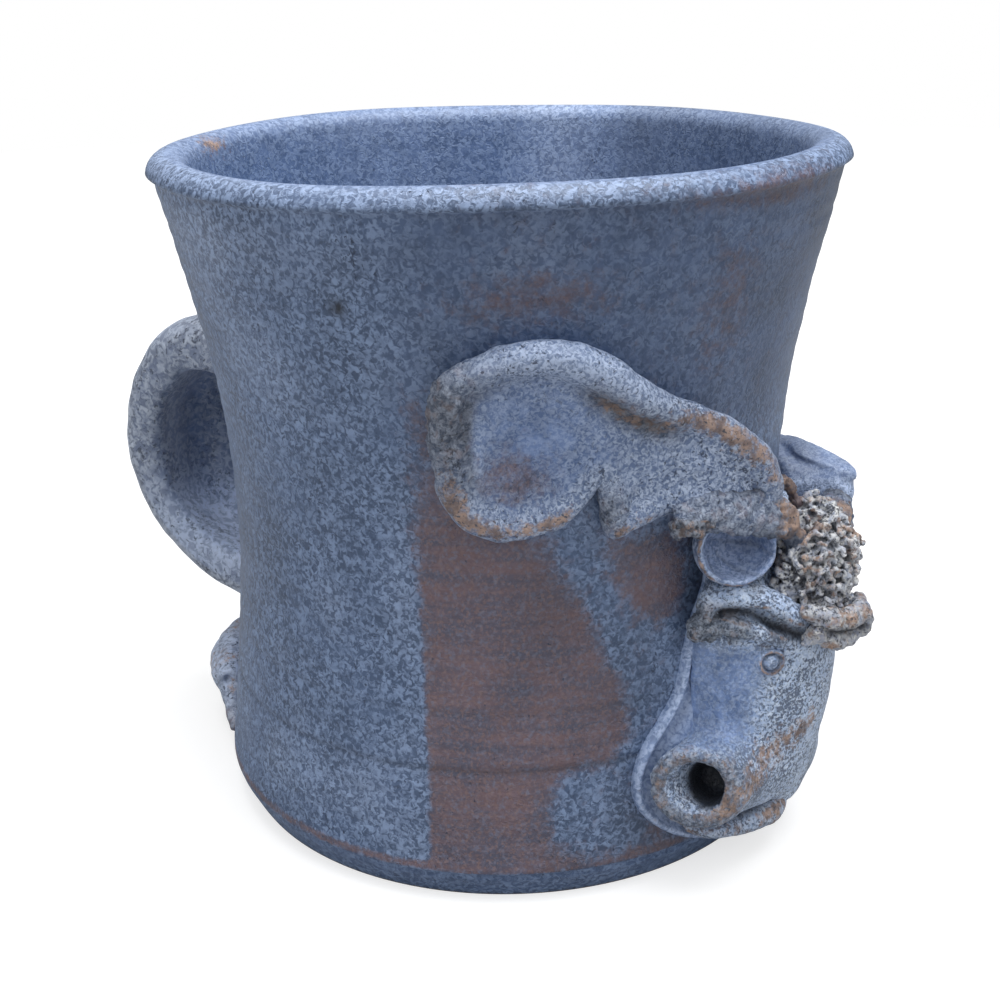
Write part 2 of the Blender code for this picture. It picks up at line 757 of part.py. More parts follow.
def lump(name, centre, size, finish, into, bumps=0.0):
    """An egg of clay in the head's directions, with a little hand-pressed unevenness."""
    mesh = bmesh.new()
    bmesh.ops.create_uvsphere(mesh, u_segments=16, v_segments=10, radius=1.0)
    for vertex in mesh.verts:
        x, y, z = vertex.co
        swell = 1 + bumps * math.sin(5 * x + 2 * z) * math.cos(4 * y - 3 * z)
        vertex.co = at_head(
            centre[0] + size[0] * swell * x,
            centre[1] + size[1] * swell * y,
            centre[2] + size[2] * swell * z,
        )
    return rounded(put(flat_faced(mesh, name), name, finish, into))


def strand_ring(name, middle, facing, into):
    """A short loop of extruded clay lying on the lump."""
    facing = facing.normalized()
    side = facing.orthogonal().normalized()
    other = facing.cross(side)
    count = 9
    points, radii = [], []
    for k in range(count):
        a = math.radians(300) * k / (count - 1)
        lift = facing * (STRAND_WAVE * math.sin(2 * a))
        points.append(middle + (side * math.cos(a) + other * math.sin(a)) * LOOP_RADIUS + lift)
        radii.append(STRAND_RADIUS)
    return tube(name, points, radii, 1, None, into)


def forelock_tangle(finish, into, cutters, neighbours):
    """Strands of extruded clay, curled and pressed into a lump between the antlers."""
    made = lump("forelock_tangle", TANGLE_CENTRE, TANGLE_SIZE, finish, into, 0.05)
    golden = math.pi * (3 - math.sqrt(5))
    for k in range(TANGLE_CURLS):
        height = 1 - (k + 0.5) / TANGLE_CURLS * 0.9
        spin = golden * k
        flat = math.sqrt(1 - height**2)
        x, y, z = flat * math.cos(spin), flat * math.sin(spin), height
        if y < -0.55:
            continue
        spot = at_head(
            TANGLE_CENTRE[0] + TANGLE_SIZE[0] * 0.98 * x,
            TANGLE_CENTRE[1] + TANGLE_SIZE[1] * 0.98 * y,
            TANGLE_CENTRE[2] + TANGLE_SIZE[2] * 0.98 * z,
        )
        facing = at_head(x * MM, y * MM, z * MM) - at_head(0.0, 0.0, 0.0)
        lean = Vector((math.sin(3.1 * k), math.cos(2.3 * k), math.sin(1.7 * k))) * 0.5
        trim(made, strand_ring("strand", spot, facing.normalized() + lean, cutters), "UNION")
    for cutter in neighbours:
        trim(made, cutter)
    return made


def forelock_curl(finish, into, cutters, neighbours):
    """The fat curl that hangs over the forehead."""
    made = lump("forelock_curl", CURL_CENTRE, CURL_SIZE, finish, into, 0.04)
    for k, step in enumerate(CURL_LOOPS):
        spot = at_head(*(centre + offset * MM for centre, offset in zip(CURL_CENTRE, step)))
        facing = Vector((math.sin(1.9 * k), -1.4, math.cos(2.7 * k)))
        trim(made, strand_ring("curl_strand", spot, facing, cutters), "UNION")
    for cutter in neighbours:
        trim(made, cutter)
    return made


def build():
    clear_scene()
    mug = new_collection("moose_mug")
    cutters = new_collection("cutters")
    blue = clay("slate_blue_glaze", (0.12, 0.16, 0.25), 0.42)
    mottled = clay("mottled_glaze", (0.33, 0.38, 0.44), 0.5)
    pale = clay("pale_speckled_glaze", (0.36, 0.45, 0.55), 0.45)
    cream = clay("cream_broken_glaze", (0.42, 0.36, 0.3), 0.6)

    turned("cup_body", cup_profile(), CUP_STEPS, blue, mug)
    wall = wall_cutter(cutters)
    handle_strap(mottled, mug, wall)
    handle_scroll(mottled, mug, wall)
    head_plaque(blue, mug)
    moose_head(pale, mug, cutters)
    lower_jaw(pale, mug)
    face_room = face_block("face_room", None, cutters, SEAM)
    curl_reach = [size + STRAND_RADIUS + SEAM for size in CURL_SIZE]
    curl_room = lump("curl_room", CURL_CENTRE, curl_reach, None, cutters)
    brow_rooms = []
    tangle_rooms = [face_room, curl_room]
    for side, label in ((1, "right"), (-1, "left")):
        eye_pellet("eye_" + label, side, pale, mug)
        trim(brow("brow_" + label, side, pale, mug), face_room)
        brow_rooms.append(brow("brow_room", side, None, cutters, SEAM))
        slab = antler("antler_" + label, side, mottled, mug)
        trim(slab, notch_cutter(side, cutters))
        antler_room = antler("antler_room", side, None, cutters, SEAM)
        leaf = ear("ear_" + label, side, mottled, mug)
        for cutter in (face_room, antler_room, brow_rooms[-1]):
            trim(leaf, cutter)
        tangle_rooms += [antler_room, ear("ear_room", side, None, cutters, SEAM)]
    forelock_tangle(cream, mug, cutters, tangle_rooms + brow_rooms)
    forelock_curl(cream, mug, cutters, [face_room] + brow_rooms)


build()
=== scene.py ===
"""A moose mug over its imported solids: hand-built stoneware under a slate-blue glaze that breaks to rust.

Shapes are worked out in millimetres and placed in metres. The origin is on the cup's axis at its underside,
the head faces -Y and its right side is at -X.
"""

import functools
import itertools
import math

import bpy
import numpy as np
from mathutils import Matrix, Vector


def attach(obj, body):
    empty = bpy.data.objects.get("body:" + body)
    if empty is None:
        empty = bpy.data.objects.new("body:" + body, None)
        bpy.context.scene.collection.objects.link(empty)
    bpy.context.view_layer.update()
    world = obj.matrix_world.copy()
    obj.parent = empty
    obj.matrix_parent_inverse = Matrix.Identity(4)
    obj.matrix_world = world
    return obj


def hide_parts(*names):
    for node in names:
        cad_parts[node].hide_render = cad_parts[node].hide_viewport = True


MM = 0.001
BODY = "root"

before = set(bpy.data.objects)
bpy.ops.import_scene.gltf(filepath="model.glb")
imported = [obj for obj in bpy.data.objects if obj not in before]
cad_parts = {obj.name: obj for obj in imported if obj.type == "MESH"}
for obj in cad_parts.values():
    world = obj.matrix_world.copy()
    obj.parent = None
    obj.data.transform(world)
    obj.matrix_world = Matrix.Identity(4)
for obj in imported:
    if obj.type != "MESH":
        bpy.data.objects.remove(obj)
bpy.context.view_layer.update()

# The cup
LIP_RADIUS = 50.0
LIP_ROLL = 3.0
CUP_HEIGHT = 99.1
WALL = 5.0
FLOOR = 6.5
INSIDE_CORNER = 9.0
FOOT_EDGE_HEIGHT = 5.0
FOOT_RADIUS = 43.8
WAIST_RADIUS = 41.95
# Up its outside: height, radius
WALL_CURVE = [(5.0, 45.9), (17.8, 44.2), (41.6, WAIST_RADIUS), (65.4, 43.0), (96.1, 49.0)]

# The photograph looks along this turn from the head
PHOTO_TURN = 53.0

# The head's own directions: across to its right side, up along it, out from the wall or forward from the axis
HEAD_HEIGHT = 28.0
HEAD_TILT = math.radians(12)
WRAP_RADIUS = 44.0
HEAD_BACK = 2.3
SEAM = 0.3
# No clay of the head comes lower than this, and it slows down softly on its way there
CHIN_CLEAR = 0.8
CHIN_SOFTNESS = 2.0

# A distance beyond everything, and a length too small to see
FAR_AWAY = 1e9
TINY = 1e-6


# Numbers

LOOKUP_PLACES = 400
# Large odd numbers that scramble a cell's place into its noise
SCRAMBLE = (73856093, 19349663, 83492791, 2654435)
SCRAMBLE_AGAIN = (1274126177, 668265263)


def smooth_through(points, at):
    """The values of a smooth curve through points, each (place, value, value...), at one place."""
    last = len(points) - 2
    low = max(0, min(last, sum(1 for p in points[1:-1] if p[0] <= at)))
    a, b = points[low], points[low + 1]
    before = points[low - 1] if low else a
    after = points[low + 2] if low < last else b
    span = b[0] - a[0]
    t = (at - a[0]) / span
    values = []
    for k in range(1, len(a)):
        start = (b[k] - before[k]) / (b[0] - before[0]) * span
        end = (after[k] - a[k]) / (after[0] - a[0]) * span
        value = (2 * t**3 - 3 * t**2 + 1) * a[k] + (3 * t**2 - 2 * t**3) * b[k]
        values.append(value + (t**3 - 2 * t**2 + t) * start + (t**3 - t**2) * end)
    return values


def lookup(points):
    """A function that reads the smooth curve through points, for arrays of places, with its ends held."""
    places = np.linspace(points[0][0], points[-1][0], LOOKUP_PLACES)
    columns = np.array([smooth_through(points, at) for at in places]).T

    def read(at):
        found = [np.interp(at, places, column) for column in columns]
        return found if len(found) > 1 else found[0]

    return read


def smooth_line(knots, steps=3):
    """An open line led smoothly through its knots."""
    table = [(k, *knot) for k, knot in enumerate(knots)]
    count = (len(knots) - 1) * steps
    return [smooth_through(table, k / steps) for k in range(count + 1)]


def flowing(knots, steps=4):
    """A closed outline led smoothly through its knots, with their other columns."""
    k = np.array(knots, float)
    before, after, next_after = np.roll(k, 1, 0), np.roll(k, -1, 0), np.roll(k, -2, 0)
    rows = []
    for step in range(steps):
        t = step / steps
        bend = (2 * before - 5 * k + 4 * after - next_after) * t**2
        twist = (3 * k - before - 3 * after + next_after) * t**3
        rows.append(0.5 * (2 * k + (after - before) * t + bend + twist))
    return np.stack(rows, 1).reshape(-1, k.shape[1])


def along(outline, x, y):
    """The distance to a closed outline, below zero inside, and its other columns at the nearest place."""
    best = np.full(x.shape, FAR_AWAY)
    inside = np.zeros(x.shape, bool)
    rest = np.zeros(x.shape + (outline.shape[1] - 2,))
    for a, b in zip(outline, np.roll(outline, -1, 0)):
        ex, ey = b[0] - a[0], b[1] - a[1]
        t = np.clip(((x - a[0]) * ex + (y - a[1]) * ey) / max(ex * ex + ey * ey, TINY), 0, 1)
        d = (x - a[0] - t * ex) ** 2 + (y - a[1] - t * ey) ** 2
        near = d < best
        best = np.where(near, d, best)
        rest[near] = a[2:] + t[near][:, None] * (b[2:] - a[2:])
        if ey:
            inside ^= ((a[1] > y) != (b[1] > y)) & (x < ex * (y - a[1]) / ey + a[0])
    return np.where(inside, -np.sqrt(best), np.sqrt(best)), np.moveaxis(rest, -1, 0)


def step_up(low, high, value):
    """0 up to low, 1 from high, smooth between."""
    t = np.clip((value - low) / (high - low), 0, 1)
    return t * t * (3 - 2 * t)


def hill(distance, width):
    """1 at no distance, fading to nothing some widths away."""
    return np.exp(-((distance / width) ** 2))


def blot(x, y, middle_x, middle_y, wide, tall):
    """1 at a place, fading out over an oval round it."""
    return hill(np.hypot((x - middle_x) / wide, (y - middle_y) / tall), 1.0)


def grain(points, size, seed=0):
    """Smooth noise from -1 to 1 at points in millimetres, with lumps about size across."""
    q = points / size + seed * 17.13
    cell = np.floor(q).astype(np.int64)
    t = q - cell
    t = t * t * (3 - 2 * t)
    total = np.zeros(points.shape[:-1])
    for corner in itertools.product((0, 1), repeat=3):
        c = cell + np.array(corner)
        h = seed * SCRAMBLE[3]
        for k in range(3):
            h = h ^ (c[..., k] * SCRAMBLE[k])
        h = ((h ^ (h >> 13)) * SCRAMBLE_AGAIN[0]) & 0x7FFFFFFF
        h = ((h ^ (h >> 11)) * SCRAMBLE_AGAIN[1]) & 0x7FFFFFFF
        value = ((h >> 8) & 0xFFFF) / 32767.5 - 1
        total += value * np.prod(np.where(corner, t, 1 - t), axis=-1)
    return total


def crumble(points, size, seed=0):
    """Noise of several sizes, sharper at its low places, like clay that tore as it was extruded."""
    value = grain(points, size, seed) + 0.5 * grain(points, size / 2.1, seed + 1)
    return value + 0.28 * grain(points, size / 4.3, seed + 2) - 0.35 * (value < -0.55)


# Fields of distance

# How far round itself a thin coil is worked out
COIL_REACH = 3.0


def joined(a, b, soft):
    """Two fields of distance as one, their meeting filled to a soft hollow."""
    h = np.maximum(soft - np.abs(a - b), 0) / soft
    return np.minimum(a, b) - h * h * soft / 4


def cut(a, b, soft):
    """Where both fields are inside, with the meeting edge rounded."""
    return -joined(-a, -b, soft)


def oval(shift, radii):
    """About the distance to an oval, from the shift from its middle and its half sizes, flat or solid."""
    k = np.sqrt(sum((v / r) ** 2 for v, r in zip(shift, radii)))
    slope = np.sqrt(sum((v / r**2) ** 2 for v, r in zip(shift, radii)))
    return k * (k - 1) / np.maximum(slope, TINY)


def egg(a, u, w, middle, radii):
    """About the distance to an egg-shaped lump."""
    return oval([v - m for v, m in zip((a, u, w), middle)], radii)


def coil(a, u, w, line):
    """The distance to a round coil led through knots of (across, up, forward, radius), not closed."""
    best = np.full(a.shape, FAR_AWAY)
    for p, q in zip(line, line[1:]):
        d = [q[k] - p[k] for k in range(4)]
        span = d[0] ** 2 + d[1] ** 2 + d[2] ** 2
        t = np.clip(((a - p[0]) * d[0] + (u - p[1]) * d[1] + (w - p[2]) * d[2]) / span, 0, 1)
        away = (a - p[0] - t * d[0]) ** 2 + (u - p[1] - t * d[1]) ** 2 + (w - p[2] - t * d[2]) ** 2
        best = np.minimum(best, np.sqrt(away) - p[3] - t * d[3])
    return best


def beside(line, x, y):
    """The distance to an open line in a plane."""
    return coil(x, y, 0 * x, [(*place, 0, 0) for place in line])


def coils(a, u, w, strands, soft):
    """Many thin coils joined, each worked out only near itself on the even grid of a, u and w."""
    axes = (a[:, 0, 0], u[0, :, 0], w[0, 0, :])
    best = np.full(a.shape, COIL_REACH)
    for line in strands:
        line = np.array(line)
        reach = line[:, 3].max() + COIL_REACH
        part = []
        for axis, column in zip(axes, line[:, :3].T):
            part.append(slice(*np.searchsorted(axis, (column.min() - reach, column.max() + reach))))
        part = tuple(part)
        if best[part].size:
            best[part] = joined(best[part], coil(a[part], u[part], w[part], line), soft)
    return best


def skin(field, low, high, step):
    """The surface where a field is zero on an even grid, as points and squares."""
    axes = [np.arange(a, b + step, step) for a, b in zip(low, high)]
    value = field(*np.meshgrid(*axes, indexing="ij"))
    value = np.where(np.abs(value) < TINY, TINY, value)
    for axis in range(3):
        for end in (0, -1):
            edge = [slice(None)] * 3
            edge[axis] = end
            value[tuple(edge)] = np.maximum(value[tuple(edge)], step)
    cells = tuple(n - 1 for n in value.shape)
    total = np.zeros((cells[0] * cells[1] * cells[2], 3))
    count = np.zeros(len(total))
    squares = []
    for axis in range(3):
        first, second = [slice(None)] * 3, [slice(None)] * 3
        first[axis], second[axis] = slice(0, -1), slice(1, None)
        va, vb = value[tuple(first)], value[tuple(second)]
        edge = np.argwhere((va < 0) != (vb < 0))
        here, there = va[tuple(edge.T)], vb[tuple(edge.T)]
        point = edge.astype(float)
        point[:, axis] += here / (here - there)
        ring = []
        for du, dv in ((0, 0), (1, 0), (1, 1), (0, 1)):
            cell = edge.copy()
            cell[:, (axis + 1) % 3] -= du
            cell[:, (axis + 2) % 3] -= dv
            number = np.ravel_multi_index(tuple(cell.T), cells)
            np.add.at(total, number, point)
            np.add.at(count, number, 1)
            ring.append(number)
        ring = np.stack(ring, 1)
        ring[here > 0] = ring[here > 0][:, ::-1]
        squares.append(ring)
    squares = np.concatenate(squares)
    used = np.flatnonzero(count)
    number = np.zeros(len(count), np.int64)
    number[used] = np.arange(len(used))
    points = total[used] / count[used][:, None] * step + np.array(low)
    return points, number[squares]


def rings_to_squares(rows, columns):
    """Squares between rings of points that are each closed."""
    r = np.arange(rows - 1)[:, None]
    c = np.arange(columns)[None, :]
    here, over = r * columns, (r + 1) * columns
    beyond = (c + 1) % columns
    return np.stack([here + c, here + beyond, over + beyond, over + c], -1).reshape(-1, 4)


def normals_of(points, squares):
    """The way each point of a surface faces."""
    a, b, c, d = (points[squares[:, k]] for k in range(4))
    face = np.cross(c - a, d - b)
    total = np.zeros_like(points)
    for k in range(4):
        np.add.at(total, squares[:, k], face)
    return total / np.maximum(np.linalg.norm(total, axis=1, keepdims=True), TINY)


def volume(points, squares):
    """Six times the room inside a closed surface, below zero where its squares face in."""
    a, b, c, d = (points[squares[:, k]] for k in range(4))
    return (np.cross(b, c) * a).sum() + (np.cross(c, d) * a).sum()


def roughened(points, squares, bump):
    """A closed surface's points pushed out of it by bump millimetres each."""
    outward = 1.0 if volume(points, squares) > 0 else -1.0
    return points + normals_of(points, squares) * outward * bump[:, None]


# The head's directions

wall_radius = lookup(WALL_CURVE)


def tipped(across, up):
    """How far round the cup, in millimetres, and how high a place on the tilted head is."""
    level = across * math.cos(HEAD_TILT) - up * math.sin(HEAD_TILT)
    rise = across * math.sin(HEAD_TILT) + up * math.cos(HEAD_TILT)
    over = HEAD_HEIGHT + rise - CHIN_CLEAR
    return level, CHIN_CLEAR + (over + np.hypot(over, CHIN_SOFTNESS)) / 2


def round_cup(angle, radius, height):
    """Points at a turn from the head, a distance from the axis and a height."""
    return np.stack([-radius * np.sin(angle), -radius * np.cos(angle), height], -1)


def on_wall(across, up, out):
    """Points that follow the cup's wall, at a distance out from it."""
    level, height = tipped(across, up)
    return round_cup(level / WRAP_RADIUS, wall_radius(height) + out, height)


def at_head(across, up, forward):
    """Points in the head's straight directions, forward from the cup's axis."""
    level, height = tipped(across, up)
    return np.stack([-level, -forward, height], -1)


def seat(across, up):
    """How far forward the back of the head's pieces lies, behind the plaque's face."""
    level, height = tipped(across, up)
    return np.sqrt(np.maximum((wall_radius(height) + HEAD_BACK) ** 2 - level**2, 1.0))


# Making a piece

# Marks: worn bare, pooled smooth, rusty, crumbly, painted shade (with the dark glaze of cut lines), and pale
# glaze with painted highlight
MARKS = ("wear", "smooth", "rust", "crumb", "shade", "crest")


def make(name, node, finish, points, squares, **marks):
    """A piece of clay from points in millimetres. Its marks, from 0 to 1, say how its glaze broke and where
    painted shade and painted highlight lie.
    """
    if volume(points, squares) < 0:
        squares = squares[:, ::-1]
    mesh = bpy.data.meshes.new(name)
    mesh.from_pydata((points * MM).tolist(), [], squares.tolist())
    for mark in MARKS:
        layer = mesh.attributes.new(mark, "FLOAT", "POINT")
        values = np.broadcast_to(np.clip(marks.get(mark, 0.0), 0, 1), len(points))
        layer.data.foreach_set("value", np.ascontiguousarray(values, np.float32))
    mesh.validate()
    mesh.materials.append(finish)
    made = bpy.data.objects.new(name, mesh)
    bpy.context.scene.collection.objects.link(made)
    mesh.shade_smooth()
    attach(made, BODY)
    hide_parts(node)


# Materials


def paint(code):
    """A written sRGB colour as linear light."""
    parts = [int(code[k : k + 2], 16) / 255 for k in (0, 2, 4)]
    return (*(p / 12.92 if p <= 0.04045 else ((p + 0.055) / 1.055) ** 2.4 for p in parts), 1.0)


def plug(tree, node, inputs):
    """A node's inputs, by name or number, each set to a value or linked from another node's output."""
    for key, value in inputs.items():
        if isinstance(value, bpy.types.NodeSocket):
            tree.links.new(value, node.inputs[key])
        else:
            node.inputs[key].default_value = value


def add_node(tree, kind, inputs=(), out=0, **settings):
    """One of the outputs of a new node with these settings and inputs."""
    node = tree.nodes.new("ShaderNode" + kind)
    for key, value in settings.items():
        setattr(node, key, value)
    plug(tree, node, inputs if isinstance(inputs, dict) else dict(enumerate(inputs)))
    return node.outputs[out]


def new_material(name):
    material = bpy.data.materials.new(name)
    material.use_nodes = True
    return material, material.node_tree, material.node_tree.nodes["Principled BSDF"]


# How high the glaze's own relief stands
GLAZE_RELIEF = 0.14


def glaze(name, *, ground, lace, lace_size, lace_share, speck, speck_size, crowd):
    """Satin stoneware glaze: a slate ground, a pale mottle where it crawled, dark pits and specks of iron,
    rust where it ran thin, orange-tan where it broke over an edge, smooth violet-blue where it pooled."""
    material, tree, shader = new_material(name)
    add = functools.partial(add_node, tree)
    here = add("TexCoord", out="Object")
    mark = {each: add("Attribute", out="Fac", attribute_name=each) for each in MARKS}

    # Lump size in millimetres, detail, roughness, distortion, shift; then where it is none, all, and how much
    noises = {
        "cloudy ground": (15, 3.0, 0.55, 0.0, 0.0, 0.35, 0.68, 1.0),
        "lace": (lace_size, 2.0, 0.55, 0.8, 3.0, 0.37, 0.63, 1.0),
        "thick lace": (lace_size * 2.3, 2.0, 0.55, 0.8, 31.0, 0.34, 0.6, 1.0),
        "clouds": (9, 2.0, 0.5, 0.0, 21.0, 0.35, 0.65, 1.0),
        "pits": (lace_size * 0.9, 2.0, 0.6, 0.5, 43.0, 0.43, 0.35, 0.6),
        "thick pool": (3.5, 4.0, 0.65, 0.5, 15.0, 0.38, 0.62, 1.0),
        "red grains": (0.5, 3.0, 0.6, 0.0, 55.0, 0.48, 0.64, 0.7),
        "grey grains": (0.7, 2.0, 0.6, 0.0, 57.0, 0.52, 0.66, 0.5),
        "pale crumbs": (1.0, 3.0, 0.65, 0.3, 71.0, 0.42, 0.6, 1.0),
        "tan crumbs": (1.7, 2.0, 0.5, 0.0, 77.0, 0.52, 0.66, 0.7),
        "light tan": (2.2, 3.0, 0.6, 0.0, 91.0, 0.38, 0.62, 1.0),
        "tan grains": (0.5, 3.0, 0.65, 0.4, 97.0, 0.566, 0.636, 1.0),
        "fine": (0.55, 2.0, 0.6, 0.0, 0.0),
        "thin places": (1.9, 5.0, 0.72, 0.0, 0.0),
        "broken edges": (1.2, 4.0, 0.7, 0.0, 81.0),
        "iron lumps": (6, 3.0, 0.6, 0.0, 53.0),
        "specks": (speck_size, 3.0, 0.65, 0.4, 33.0),
        "crowded specks": (6, 2.0, 0.5, 0.0, 41.0),
    }
    share = {}
    for each, (size, detail, rough, twist, shift, *rise) in noises.items():
        place = add("VectorMath", (here, (shift * MM, 1.7 * shift * MM, -1.3 * shift * MM)), operation="ADD")
        inputs = {"Vector": place, "Scale": 1 / (size * MM), "Detail": detail, "Roughness": rough}
        share[each] = add("TexNoise", {**inputs, "Distortion": twist})
        if rise:
            inputs = dict(zip(("From Min", "From Max", "To Max"), rise))
            share[each] = add("MapRange", {"Value": share[each], **inputs}, interpolation_type="SMOOTHSTEP")

    # Rust runs in level streaks about 1.5 mm thick
    place = add("VectorMath", (here, (51 * MM, 86.7 * MM, -66.3 * MM)), operation="ADD")
    place = add("VectorMath", (place, (0.07, 0.07, 1.0)), operation="MULTIPLY")
    streaks = add("TexNoise", {"Vector": place, "Scale": 1 / (1.5 * MM), "Detail": 3.0, "Roughness": 0.6})

    # Ragged shares: a noise, how strongly it counts, what it is added to; then none below and all above
    more = 0.34
    few = more * (0.5 - crowd)
    ragged = {
        "iron streaks": (streaks, 1.0, share["iron lumps"], 0.72, 1.28),
        "rust": (share["thin places"], 1.15, mark["rust"], 0.835, 1.335),
        "bare": (share["broken edges"], 1.6, mark["wear"], 1.16, 1.58),
        "iron specks": (share["crowded specks"], more, share["specks"], 0.6 + few, 0.67 + few),
    }
    for each, (noise, strength, base, low, high) in ragged.items():
        value = add("Math", (noise, strength, base), operation="MULTIPLY_ADD")
        inputs = {"Value": value, "From Min": low, "From Max": high}
        share[each] = add("MapRange", inputs, interpolation_type="SMOOTHSTEP")

    # What each layer is painted with: its first colour, then others laid over it by their shares
    paints = {
        "ground": (ground[0], ("cloudy ground", ground[1])),
        "pool": ("3d5988", ("thick pool", "6580b2")),
        "iron": ("504c5b", ("iron streaks", "6e5658"), ("red grains", "7f655f"), ("grey grains", "6c7186")),
        "torn": ("262b34", ("pale crumbs", "858a94"), ("tan crumbs", "7c6553")),
        "tan": ("75625a", ("light tan", "a88d7c"), ("tan grains", "413f45")),
    }
    mixed = {}
    for each, (first, *others) in paints.items():
        colour = paint(first)
        for over, code in others:
            colour = add("Mix", {0: share[over], 6: colour, 7: paint(code)}, out=2, data_type="RGBA")
        mixed[each] = colour

    # The pale mottle is thicker in patches, and a smooth pool holds it, the pits and the specks back
    held_back = add("Math", (mark["smooth"], -0.7, 1.0), operation="MULTIPLY_ADD")
    patch = add("Math", (share["thick lace"], 0.4, 0.4), operation="MULTIPLY_ADD")
    patch = add("Math", (share["clouds"], 0.2, patch), operation="MULTIPLY_ADD")
    mottle = add("Math", (share["lace"], patch), operation="MULTIPLY")
    mottle = add("Math", (mottle, held_back), operation="MULTIPLY")
    crest = add("Math", (share["lace"], 0.65, 0.35), operation="MULTIPLY_ADD")
    specks = add("Math", (share["iron specks"], held_back), operation="MULTIPLY")

    # From the ground up. The last, near black, is painted shade in hollows, gaps and on sides away from the
    # light, and also darkens the glaze itself in places, as in its cut lines and a popped bubble
    layers = (
        (share["pits"], held_back, paint(speck)),
        (mark["smooth"], 0.85, mixed["pool"]),
        (mottle, lace_share, paint(lace)),
        # Pale blue-white: partly the glaze's pale breaks, partly painted highlight on lit tops and rims
        (mark["crest"], crest, paint("b4c4e2")),
        (share["rust"], 0.88, mixed["iron"]),
        (specks, 0.85, paint(speck)),
        (mark["crumb"], 0.85, mixed["torn"]),
        (share["bare"], 0.9, mixed["tan"]),
        (mark["shade"], 1.0, paint("171c27")),
    )
    colour = mixed["ground"]
    for amount, strength, over in layers:
        amount = add("Math", (amount, strength), operation="MULTIPLY")
        colour = add("Mix", {0: amount, 6: colour, 7: over}, out=2, data_type="RGBA")

    rough = add("Math", (share["bare"], mark["crumb"]), operation="MAXIMUM")
    rough = add("Math", (rough, 0.25, 0.42), operation="MULTIPLY_ADD")
    rough = add("Math", (mottle, 0.12, rough), operation="MULTIPLY_ADD")
    height = add("Math", (share["fine"], 0.35), operation="MULTIPLY")
    height = add("Math", (mottle, 0.5, height), operation="MULTIPLY_ADD")
    height = add("Math", (specks, -0.8, height), operation="MULTIPLY_ADD")
    bump = add("Bump", {"Height": height, "Distance": GLAZE_RELIEF * MM, "Strength": 1.0}, out="Normal")
    plug(tree, shader, {"Base Color": colour, "Roughness": rough, "Normal": bump})
    return material


# Slate-blue glaze with a fine, low pale mottle, for the thrown cup and the slab behind the head
slate = glaze(
    "slate_blue_lace_glaze", ground=("3b4d6a", "475b7c"), lace="8196b9", lace_size=0.74, lace_share=0.95,
    speck="2c3b56", speck_size=0.5, crowd=-0.2,
)
# The same glaze laid thicker on the hand-built pieces: a paler, stronger mottle and darker pits
mottled = glaze(
    "mottled_lace_glaze", ground=("4e6080", "61759a"), lace="becbe2", lace_size=0.5, lace_share=0.85,
    speck="303c54", speck_size=0.55, crowd=-0.02,
)
# The pale blue-white glaze on the head, peppered with iron specks
pale = glaze(
    "pale_speckled_glaze", ground=("9cb1d3", "b4c8e6"), lace="d6e3f6", lace_size=0.6, lace_share=0.85,
    speck="46536c", speck_size=0.42, crowd=0.3,
)
# The same glaze seen larger and greyer on the handle and its rolled tail
grey = glaze(
    "mottled_grey_glaze", ground=("6a7386", "7f899e"), lace="bcc5d4", lace_size=1.1, lace_share=0.85,
    speck="364052", speck_size=0.7, crowd=0.0,
)
# Cream and grey glaze broken over crumbly extruded clay
cream = glaze(
    "cream_broken_glaze", ground=("9199ae", "b2b9c6"), lace="e2e2e0", lace_size=0.8, lace_share=0.9,
    speck="30323a", speck_size=0.5, crowd=0.1,
)


# The cup

# Where the glaze ran thin on the wall: degrees round from the photograph's middle, height
RUST_PANEL = [
    (-17.6, 73.7), (-17.2, 65.5), (-16.8, 55.7), (-16.2, 44.3), (-15.5, 29.9), (-14.9, 15.3), (-14.9, 5.2),
    (-6.2, 4.6), (7.9, 4.6), (30, 4.6), (22.6, 6.4), (11.9, 6.8), (7.4, 8.7), (6.4, 13.8), (7, 16.7),
    (9.7, 19.4), (18.3, 20.2), (21.8, 23.6), (21.6, 27), (20.3, 32.1), (17.1, 36), (16.1, 39.8),
    (12.4, 45.1), (8.7, 48.7), (7.5, 53), (4.1, 58.8), (-6.1, 61.7), (-11.9, 72.6),
]
RUST_SIDE = [
    (16.6, 55.1), (35.7, 52.3), (36.1, 46.4), (34.5, 39.3), (29, 37.4), (23.3, 39.4), (19.2, 44.4),
    (16.7, 49.4),
]
# Softer patches: degrees, height, half sizes in degrees and millimetres, strength
RUST_PATCHES = [
    (5, 85.5, 19, 5.5, 0.58),
    (38, 82, 12, 14, 0.5),
    (27, 8.5, 8, 7, 0.5),
    (45, 96, 26, 3.4, 0.62),
    (80, 40, 22, 26, 0.45),
    (140, 70, 30, 16, 0.5),
    (205, 22, 34, 14, 0.5),
    (-120, 84, 16, 9, 0.35),
]
# The rust's degrees as millimetres along the wall
DEGREE_LENGTH = math.radians(1) * 43.5
# All the wall to the right of the panel is a little rusty
RUST_EVERYWHERE = 0.26

